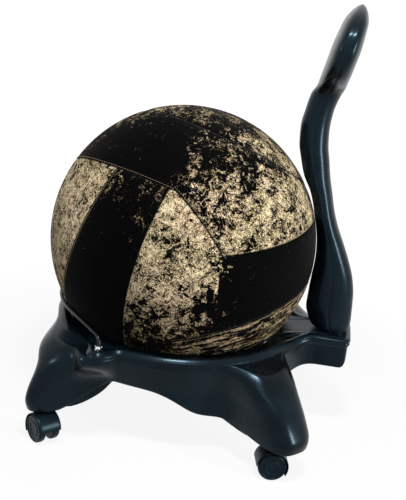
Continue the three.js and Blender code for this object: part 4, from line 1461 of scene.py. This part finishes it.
@dataclass
class Backrest:
    """The post and its oval pad: two half shells that meet along the middle of their sides."""

    foot: float = 188.3 * MM
    height: float = 598 * MM
    run: float = 150 * MM
    half_width: float = 120 * MM
    shell: float = 3.5 * MM
    ball_gap: float = 0.5 * MM
    parting: float = 0.06 * MM
    parting_round: float = 0.25
    post_power: float = 2.1
    pad_power: float = 3.4
    pad_from: Span = (0.72, 0.80)
    least_half: Span = (0.2 * MM, 0.1 * MM)
    levels: int = 150
    columns: int = 45
    inner_step: int = 4
    # From the foot up, as shares: the height, how far the front and the rear stand ahead of the
    # tab's end, and the half width.
    table: tuple[tuple[float, float, float, float], ...] = (
        (0, 0.413, 0.053, 0.225), (0.01, 0.513, 0.033, 0.235), (0.036, 0.573, 0.027, 0.246),
        (0.073, 0.613, 0.033, 0.25), (0.125, 0.608, 0.047, 0.25), (0.176, 0.598, 0.087, 0.25),
        (0.235, 0.6, 0.173, 0.25), (0.287, 0.615, 0.267, 0.25), (0.336, 0.645, 0.36, 0.25),
        (0.386, 0.69, 0.433, 0.25), (0.437, 0.758, 0.487, 0.25), (0.486, 0.863, 0.54, 0.25),
        (0.536, 0.927, 0.58, 0.25), (0.585, 0.973, 0.62, 0.25), (0.635, 0.983, 0.633, 0.25),
        (0.684, 0.953, 0.617, 0.25), (0.735, 0.907, 0.56, 0.258), (0.758, 0.853, 0.52, 0.34),
        (0.782, 0.83, 0.497, 0.6), (0.807, 0.807, 0.473, 0.8), (0.841, 0.775, 0.442, 0.942),
        (0.879, 0.741, 0.408, 1), (0.918, 0.693, 0.387, 0.95), (0.952, 0.647, 0.373, 0.8),
        (0.978, 0.58, 0.393, 0.575), (0.995, 0.51, 0.429, 0.283), (1, 0.475, 0.455, 0.1),
    )

    def outlines(self, inset: float, turn: np.ndarray) -> np.ndarray:
        """Rounded outlines from the foot to the top: |x/a|^n + |y/b|^n = 1 at each level.

        The power n rises from the post's to the pad's, whose ends are blunter. The front keeps
        clear of the ball.

        Args:
            inset: How far inside the surface they run.
            turn: Angles round them.

        Returns:
            Points, shaped (levels, angles, 3).
        """
        table = np.array(self.table)
        rows = np.arange(len(table), dtype=float)
        where = np.linspace(0, len(table) - 1, self.levels)
        height, front, rear, width = (steady(rows, column, where) for column in table.T)
        tall = self.foot + self.height * height
        square = (COVER_RADIUS + self.ball_gap) ** 2 - (tall - BALL_CENTRE[2]) ** 2
        ahead = np.maximum(BACK_REACH - self.run * front, np.sqrt(np.maximum(square, 0)))
        behind = BACK_REACH - self.run * rear
        least_width, least_depth = self.least_half
        half_width = np.maximum(self.half_width * width - inset, least_width)[:, None]
        half_depth = np.maximum((behind - ahead) / 2 - inset, least_depth)[:, None]
        c, s = np.cos(turn), np.sin(turn)
        power = 2 / mix(self.post_power, self.pad_power, ramp(*self.pad_from, height))[:, None]
        x = np.sign(c) * np.abs(c) ** power * half_width
        y = np.sign(s) * np.abs(s) ** power * half_depth + ((ahead + behind) / 2)[:, None]
        return np.stack([x, y, np.broadcast_to(tall[:, None], x.shape)], axis=-1)

    def half(self, way: int) -> np.ndarray:
        """One shell as rings: out round its skin and back inside, with a rounded parting edge.

        Args:
            way: -1 for the front shell and 1 for the rear one.

        Returns:
            Points, shaped (levels, points round each, 3).
        """
        turn = np.linspace(0, math.pi, self.columns) * way
        gap = np.array([0.0, way * self.parting / 2, 0.0])
        outer = self.outlines(0, turn) + gap
        inner = self.outlines(self.shell, turn[::self.inner_step])
        for end in (0, -1):
            outer[:, end] = mix(outer[:, end], inner[:, end], self.parting_round)
        return np.concatenate([outer, inner[:, ::-1] + gap], axis=1)

    def build(self, material: bpy.types.Material) -> list[bpy.types.Object]:
        """Makes the two shells.

        Args:
            material: Their finish.

        Returns:
            The front one and the rear one, riding on the chair.
        """
        made = []
        for way, name in ((-1, "back_front"), (1, "back_rear")):
            skin = Skin().grid(self.half(way) + RING_CENTRE)
            node = f"{name}_shell"
            made.append(skin.piece(name, material, "chair", "frame_plastic", node, sharp=40))
        return made


@dataclass
class FrontBar:
    """The round bar that keeps the ball in from the front and stands in the two bosses."""

    radius: float = 3.5 * MM
    height: float = 204 * MM
    low: float = 142 * MM
    bend: float = 18 * MM
    gap: float = 0.8 * MM
    boss_reach: float = 258 * MM
    sides: int = 20
    rise_steps: int = 24
    bend_steps: int = 14
    hoop_steps: int = 70

    def path(self) -> np.ndarray:
        """The bar's middle line: up from the left boss, round the ball and down to the right.

        Returns:
            Points, shaped (points, 3), from the ring's middle.
        """
        clear = COVER_RADIUS + self.radius + self.gap
        hoop = math.sqrt(clear**2 - (BALL_CENTRE[2] - self.height) ** 2)
        foot = np.append(heading(BOSS_ANGLE) * self.boss_reach, self.height)
        turn = np.linspace(BOSS_ANGLE - math.acos(hoop / self.boss_reach), 0, self.hoop_steps)
        ring = np.column_stack([heading(turn) * hoop, np.full_like(turn, self.height)])
        start, end = foot - [0, 0, self.bend], foot + unit(ring[0] - foot) * self.bend
        corner = parabola(start, foot, end, np.linspace(0, 1, self.bend_steps)[:, None])
        rise = np.linspace(np.append(foot[:2], self.low), start, self.rise_steps)[:-1]
        half = np.vstack([rise, corner, ring])
        return np.vstack([half, half[:-1][::-1] * [-1, 1, 1]])

    def swept(self, path: np.ndarray) -> np.ndarray:
        """Rings of the bar's radius across its path.

        Each ring starts from the last one's direction, made square to the path again, so that
        the rings don't twist.

        Args:
            path: The middle line, shaped (points, 3).

        Returns:
            Points, shaped (points, sides, 3).
        """
        along = unit(np.gradient(path, axis=0))
        first, found = np.array([1.0, 0.0, 0.0]), []
        for direction in along:
            first = unit(first - direction * (first @ direction))
            found.append(first)
        first = np.array(found)
        second = np.cross(along, first)
        turn = around(self.sides)[:, None]
        across = first[:, None] * np.cos(turn) + second[:, None] * np.sin(turn)
        return path[:, None] + self.radius * across

    def build(self) -> bpy.types.Object:
        """Makes the bar.

        Returns:
            The bar, riding on the chair.
        """
        skin = Skin().grid(self.swept(self.path()) + RING_CENTRE)
        steel = Metal("blackened_steel", (0.022, 0.024, 0.028), 0.26).material()
        return skin.piece("ball_bar", steel, "chair", "black_steel", "front_bar")


@dataclass(frozen=True)
class Fastener:
    """A nut or washer of the bar: a ring with bevelled rims, cut to a hexagon if it is a nut."""

    node: str
    across: float
    hexagon: bool
    bore: float = 3.7 * MM
    bore_bevel: float = 0.3 * MM
    bevel: float = 1.1 * MM
    bevel_share: float = 0.3
    corner_share: float = 1.2
    sides: int = 72

    def build(self, material: bpy.types.Material) -> bpy.types.Object:
        """Makes it where the frame has it.

        At each height its radius is that of a bevelled ring. A nut's radius is also at most
        that of the hexagon, which is flat / cos(angle from the middle of the side).

        Args:
            material: Its finish.

        Returns:
            The piece, riding on the chair.
        """
        low, high = (np.array(corner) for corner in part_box(self.node))
        flat, tall = self.across / 2, high[2] - low[2]
        bevel, inset = min(self.bevel, tall * self.bevel_share), self.bore_bevel
        wide = flat * (self.corner_share if self.hexagon else 1.0)
        ring = np.array([
            [self.bore + inset, 0], [wide * 0.8, 0], [wide * 0.93, bevel * 0.4], [wide, bevel],
            [wide, tall - bevel], [wide * 0.93, tall - bevel * 0.4], [wide * 0.8, tall],
            [self.bore + inset, tall], [self.bore, tall - inset], [self.bore, inset],
        ])
        turn, sixth = around(self.sides), math.pi / 3
        off = (turn + sixth / 2) % sixth - sixth / 2
        limit = flat / np.cos(off) if self.hexagon else np.full(self.sides, wide)
        radius = np.minimum(ring[:, 0], limit[:, None])
        foot = [(low[0] + high[0]) / 2, (low[1] + high[1]) / 2, low[2]]
        skin = Skin().grid(polar(radius, turn[:, None], ring[:, 1]) + foot, loop=True)
        return skin.piece(f"{self.node}_fine", material, "chair", "chrome", self.node, sharp=25)


@dataclass(frozen=True)
class Castor:
    """A twin-wheel castor: a hood over two wheels on one axle, under an upright stem.

    It is worked out with the stem on Z and the axle a trail behind it, then turned and placed.
    """

    name: str
    place: Span
    turn: float
    trail: float = 15 * MM
    wheel_radius: float = 25 * MM
    wheel_to: float = 20.4 * MM
    wheel_sides: int = 72
    wheel_fillet: float = 0.45 * MM
    hood_gap: float = 1.6 * MM
    hood_wall: float = 1.8 * MM
    hood_crown: float = 0.7 * MM
    hood_shoulder: float = 3 * MM
    hood_span: Span = (math.radians(-14.3), math.radians(194.3))
    hood_tilt: float = math.radians(18)
    hood_steps: int = 72
    hood_fillets: tuple[float, ...] = (0.5, 0.9, 3, 3, 3, 0.9, 0.5, 1)
    # How thick the hood is at its end, at the step after it and from there on.
    hood_ends: Triple = (0.4, 0.85, 1.0)
    web_half: float = 6.8 * MM
    web_overlap: float = 0.8 * MM
    web_bevel: float = 0.9 * MM
    web_sides: int = 96
    axle_radius: float = 3.5 * MM
    axle_wall: float = 3.5 * MM
    hub_radius: float = 11 * MM
    hub_top: float = 54.9 * MM
    hub_sides: int = 48
    bore: float = 5.8 * MM
    # Outlines of a wheel and of its cap as the radius and the depth below the outer face, in
    # millimetres.
    wheel_profile: tuple[Span, ...] = (
        (3.8, 13), (22.6, 13), (24.6, 11.8), (25.0, 9.6), (25.0, 4.4), (24.5, 1.8), (23.2, 0.5),
        (21.6, 0), (20.6, 0), (20.1, 1.2), (13.2, 1.5), (12.7, 0.3), (11.9, 0.1), (11.3, 0.9),
        (4.5, 1.2), (1.2, 1.2), (1.2, 3.0), (3.8, 3.0),
    )
    cap_profile: tuple[Span, ...] = ((0.4, 1.2), (1.15, 1.2), (1.15, 2.6))
    cap_sides: int = 24

    def placed(self, skin: Skin) -> Skin:
        """Turns and moves everything in a skin to where the castor stands.

        Args:
            skin: What was worked out about the stem.

        Returns:
            The same skin.
        """
        c, s = math.cos(self.turn), math.sin(self.turn)
        spin = np.array([[c, s, 0.0], [-s, c, 0.0], [0.0, 0.0, 1.0]])
        skin.points = [points @ spin + [*self.place, 0.0] for points in skin.points]
        return skin

    def about_axle(self, radius: np.ndarray, angle: np.ndarray, across: np.ndarray) -> np.ndarray:
        """Points at a radius and an angle from straight back about the axle, across along it."""
        back, up = self.trail + radius * np.cos(angle), radius * np.sin(angle)
        return np.stack(np.broadcast_arrays(back, across, self.wheel_radius + up), axis=-1)

    def hood(self) -> np.ndarray:
        """Rings of the hood: a box section across the wheels, swept round the axle.

        Its ends are thinner than the rest.

        Returns:
            Points, shaped (rings, points round the section, 3).
        """
        half, inner = self.wheel_to, self.wheel_radius + self.hood_gap
        outer = inner + self.hood_wall
        crown, shoulder = outer - self.hood_crown, half - self.hood_shoulder
        corners = np.array([
            [inner, -half], [crown, -half], [outer, -shoulder], [outer, 0.0],
            [outer, shoulder], [crown, half], [inner, half], [inner, 0.0],
        ])
        loop = rounded(corners, np.array(self.hood_fillets) * MM, 5)
        angle = np.linspace(*self.hood_span, self.hood_steps) + self.hood_tilt
        steps = np.arange(self.hood_steps)
        edge = np.minimum(steps, steps[::-1])
        thick = np.interp(edge, range(len(self.hood_ends)), self.hood_ends)
        radius = mix(loop[:, 0].mean(), loop[:, 0], thick[:, None])
        return self.about_axle(radius, angle[:, None], loop[:, 1])

    def web(self) -> np.ndarray:
        """Rings of the web between the wheels, from below the axle up into the hood.

        It is a disc cut off straight a little below the axle: there its reach is at most the
        cut's depth over the sine of the angle.

        Returns:
            Points, shaped (rings, sides, 3).
        """
        high = self.wheel_radius + self.hood_gap + self.web_overlap
        turn = around(self.web_sides)
        down = np.maximum(-np.sin(turn), 1e-6)
        reach = np.minimum(high, (self.axle_radius + self.axle_wall) / down)
        face, rim = self.web_half, self.web_half - self.web_bevel
        rings = ((0.25, -face), (0.96, -face), (1.0, -rim), (1.0, rim), (0.96, face), (0.25, face))
        angle = turn + self.hood_tilt
        return np.stack([self.about_axle(reach * part, angle, x) for part, x in rings])

    def hub(self) -> np.ndarray:
        """Rings of the round hub that takes the stem: a tube whose foot follows the hood's back.

        Returns:
            Points, shaped (sides, points round the section, 3).
        """
        radius, share = np.array([
            [self.bore, 0.0], [self.hub_radius, 0.0], [self.hub_radius, 0.6],
            [self.hub_radius, 0.92], [self.hub_radius - 1.0 * MM, 1.0],
            [self.bore + 0.7 * MM, 1.0], [self.bore, 0.95],
        ]).T
        points = polar(radius, around(self.hub_sides)[:, None], 0.0)
        back = self.wheel_radius + self.hood_gap + self.hood_wall / 2
        low = self.wheel_radius + np.sqrt(back**2 - (points[..., 0] - self.trail) ** 2)
        points[..., 2] = mix(low, self.hub_top, share)
        return points

    def wheel(self, side: int) -> Skin:
        """One wheel: a tread with a parting groove, a dished face and a raised cap.

        Args:
            side: 1 for the left wheel and -1 for the right one.

        Returns:
            The wheel and its cap.
        """
        radius, depth = rounded(np.array(self.wheel_profile) * MM, self.wheel_fillet, 3).T
        turn = around(self.wheel_sides)[:, None]
        rings = self.about_axle(radius, turn, side * (self.wheel_to - depth))
        turn = around(self.cap_sides)
        cap = [self.about_axle(q * MM, turn, side * (self.wheel_to - w * MM))
               for q, w in self.cap_profile]
        return Skin().grid(rings, loop=True).grid(np.stack(cap))

    def build(self, plastic: bpy.types.Material) -> list[bpy.types.Object]:
        """Makes the castor's body and its two wheels.

        Args:
            plastic: Their finish.

        Returns:
            The body and the wheels, each riding on its own CAD body.
        """
        whole = f"{self.name}_castor"
        parts = [(whole, whole, f"{whole}_body",
                  Skin().grid(self.hood()).grid(self.web()).grid(self.hub(), loop=True))]
        for hand, side in HANDS:
            name = f"{self.name}_wheel_{hand}"
            parts.append((name, name, f"{whole}_wheel_{hand}", self.wheel(side)))
        return [self.placed(skin).piece(name, plastic, body, "castor_plastic", node, sharp=42)
                for name, body, node, skin in parts]


def dress(name: str, material: bpy.types.Material) -> None:
    """Gives a node of the frame a finish in place of its own.

    Args:
        name: The node.
        material: The finish.
    """
    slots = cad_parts[name].data.materials
    slots.clear()
    slots.append(material)


def main() -> None:
    """Builds the chair piece by piece and the studio round it."""
    bpy.context.scene.view_settings.view_transform = "Standard"
    studio = Studio()
    studio.camera()
    studio.floor()
    studio.lights()
    frame_plastic = MouldedPlastic("frame_plastic").material()
    shell_flow, castor_flow = (420.0, 420.0, 9.0), (60.0, 60.0, 60.0)
    shell_plastic = MouldedPlastic("shell_plastic", flow=shell_flow, tilt=(0.1, 0, 0)).material()
    castor_look = MouldedPlastic("castor_plastic", roughness=0.34, film=0.02, flow=castor_flow)
    castor_plastic = castor_look.material()
    steel = Metal("zinc_steel", (0.55, 0.56, 0.58), 0.32, 0.6).material()
    chrome = Metal("chrome", (0.85, 0.87, 0.89), 0.1).material()
    rubber = Rubber("bladder_rubber", (0.09, 0.12, 0.15)).material()
    base = BaseFrame()
    pieces = [*BallCover().build(), base.build(frame_plastic)]
    pieces += [*Backrest().build(shell_plastic), FrontBar().build()]
    for end, angle, beyond, degrees in CASTORS:
        for hand, side in HANDS:
            x, y = base.stem(angle, beyond, side) + RING_CENTRE[:2]
            turn = math.radians(degrees) if side > 0 else math.pi - math.radians(degrees)
            pieces += Castor(f"{end}_{hand}", (x, y), turn).build(castor_plastic)
    for hand, _ in HANDS:
        pieces.append(Fastener(f"{hand}_bar_nut", 13 * MM, True).build(chrome))
        pieces.append(Fastener(f"{hand}_bar_washer", 18 * MM, False).build(chrome))
    for piece in pieces:
        log.info("%s: %d faces", piece.name, len(piece.data.polygons))
    finishes = {"ball_bladder": rubber, "bar_nut": chrome, "bar_washer": chrome}
    for word in ("lock", "bolt", "support", "sleeve", "stem", "axle"):
        finishes[word] = steel
    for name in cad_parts:
        own = (finish for word, finish in finishes.items() if word in name)
        dress(name, next(own, castor_plastic))


if __name__ == "__main__":
    main()
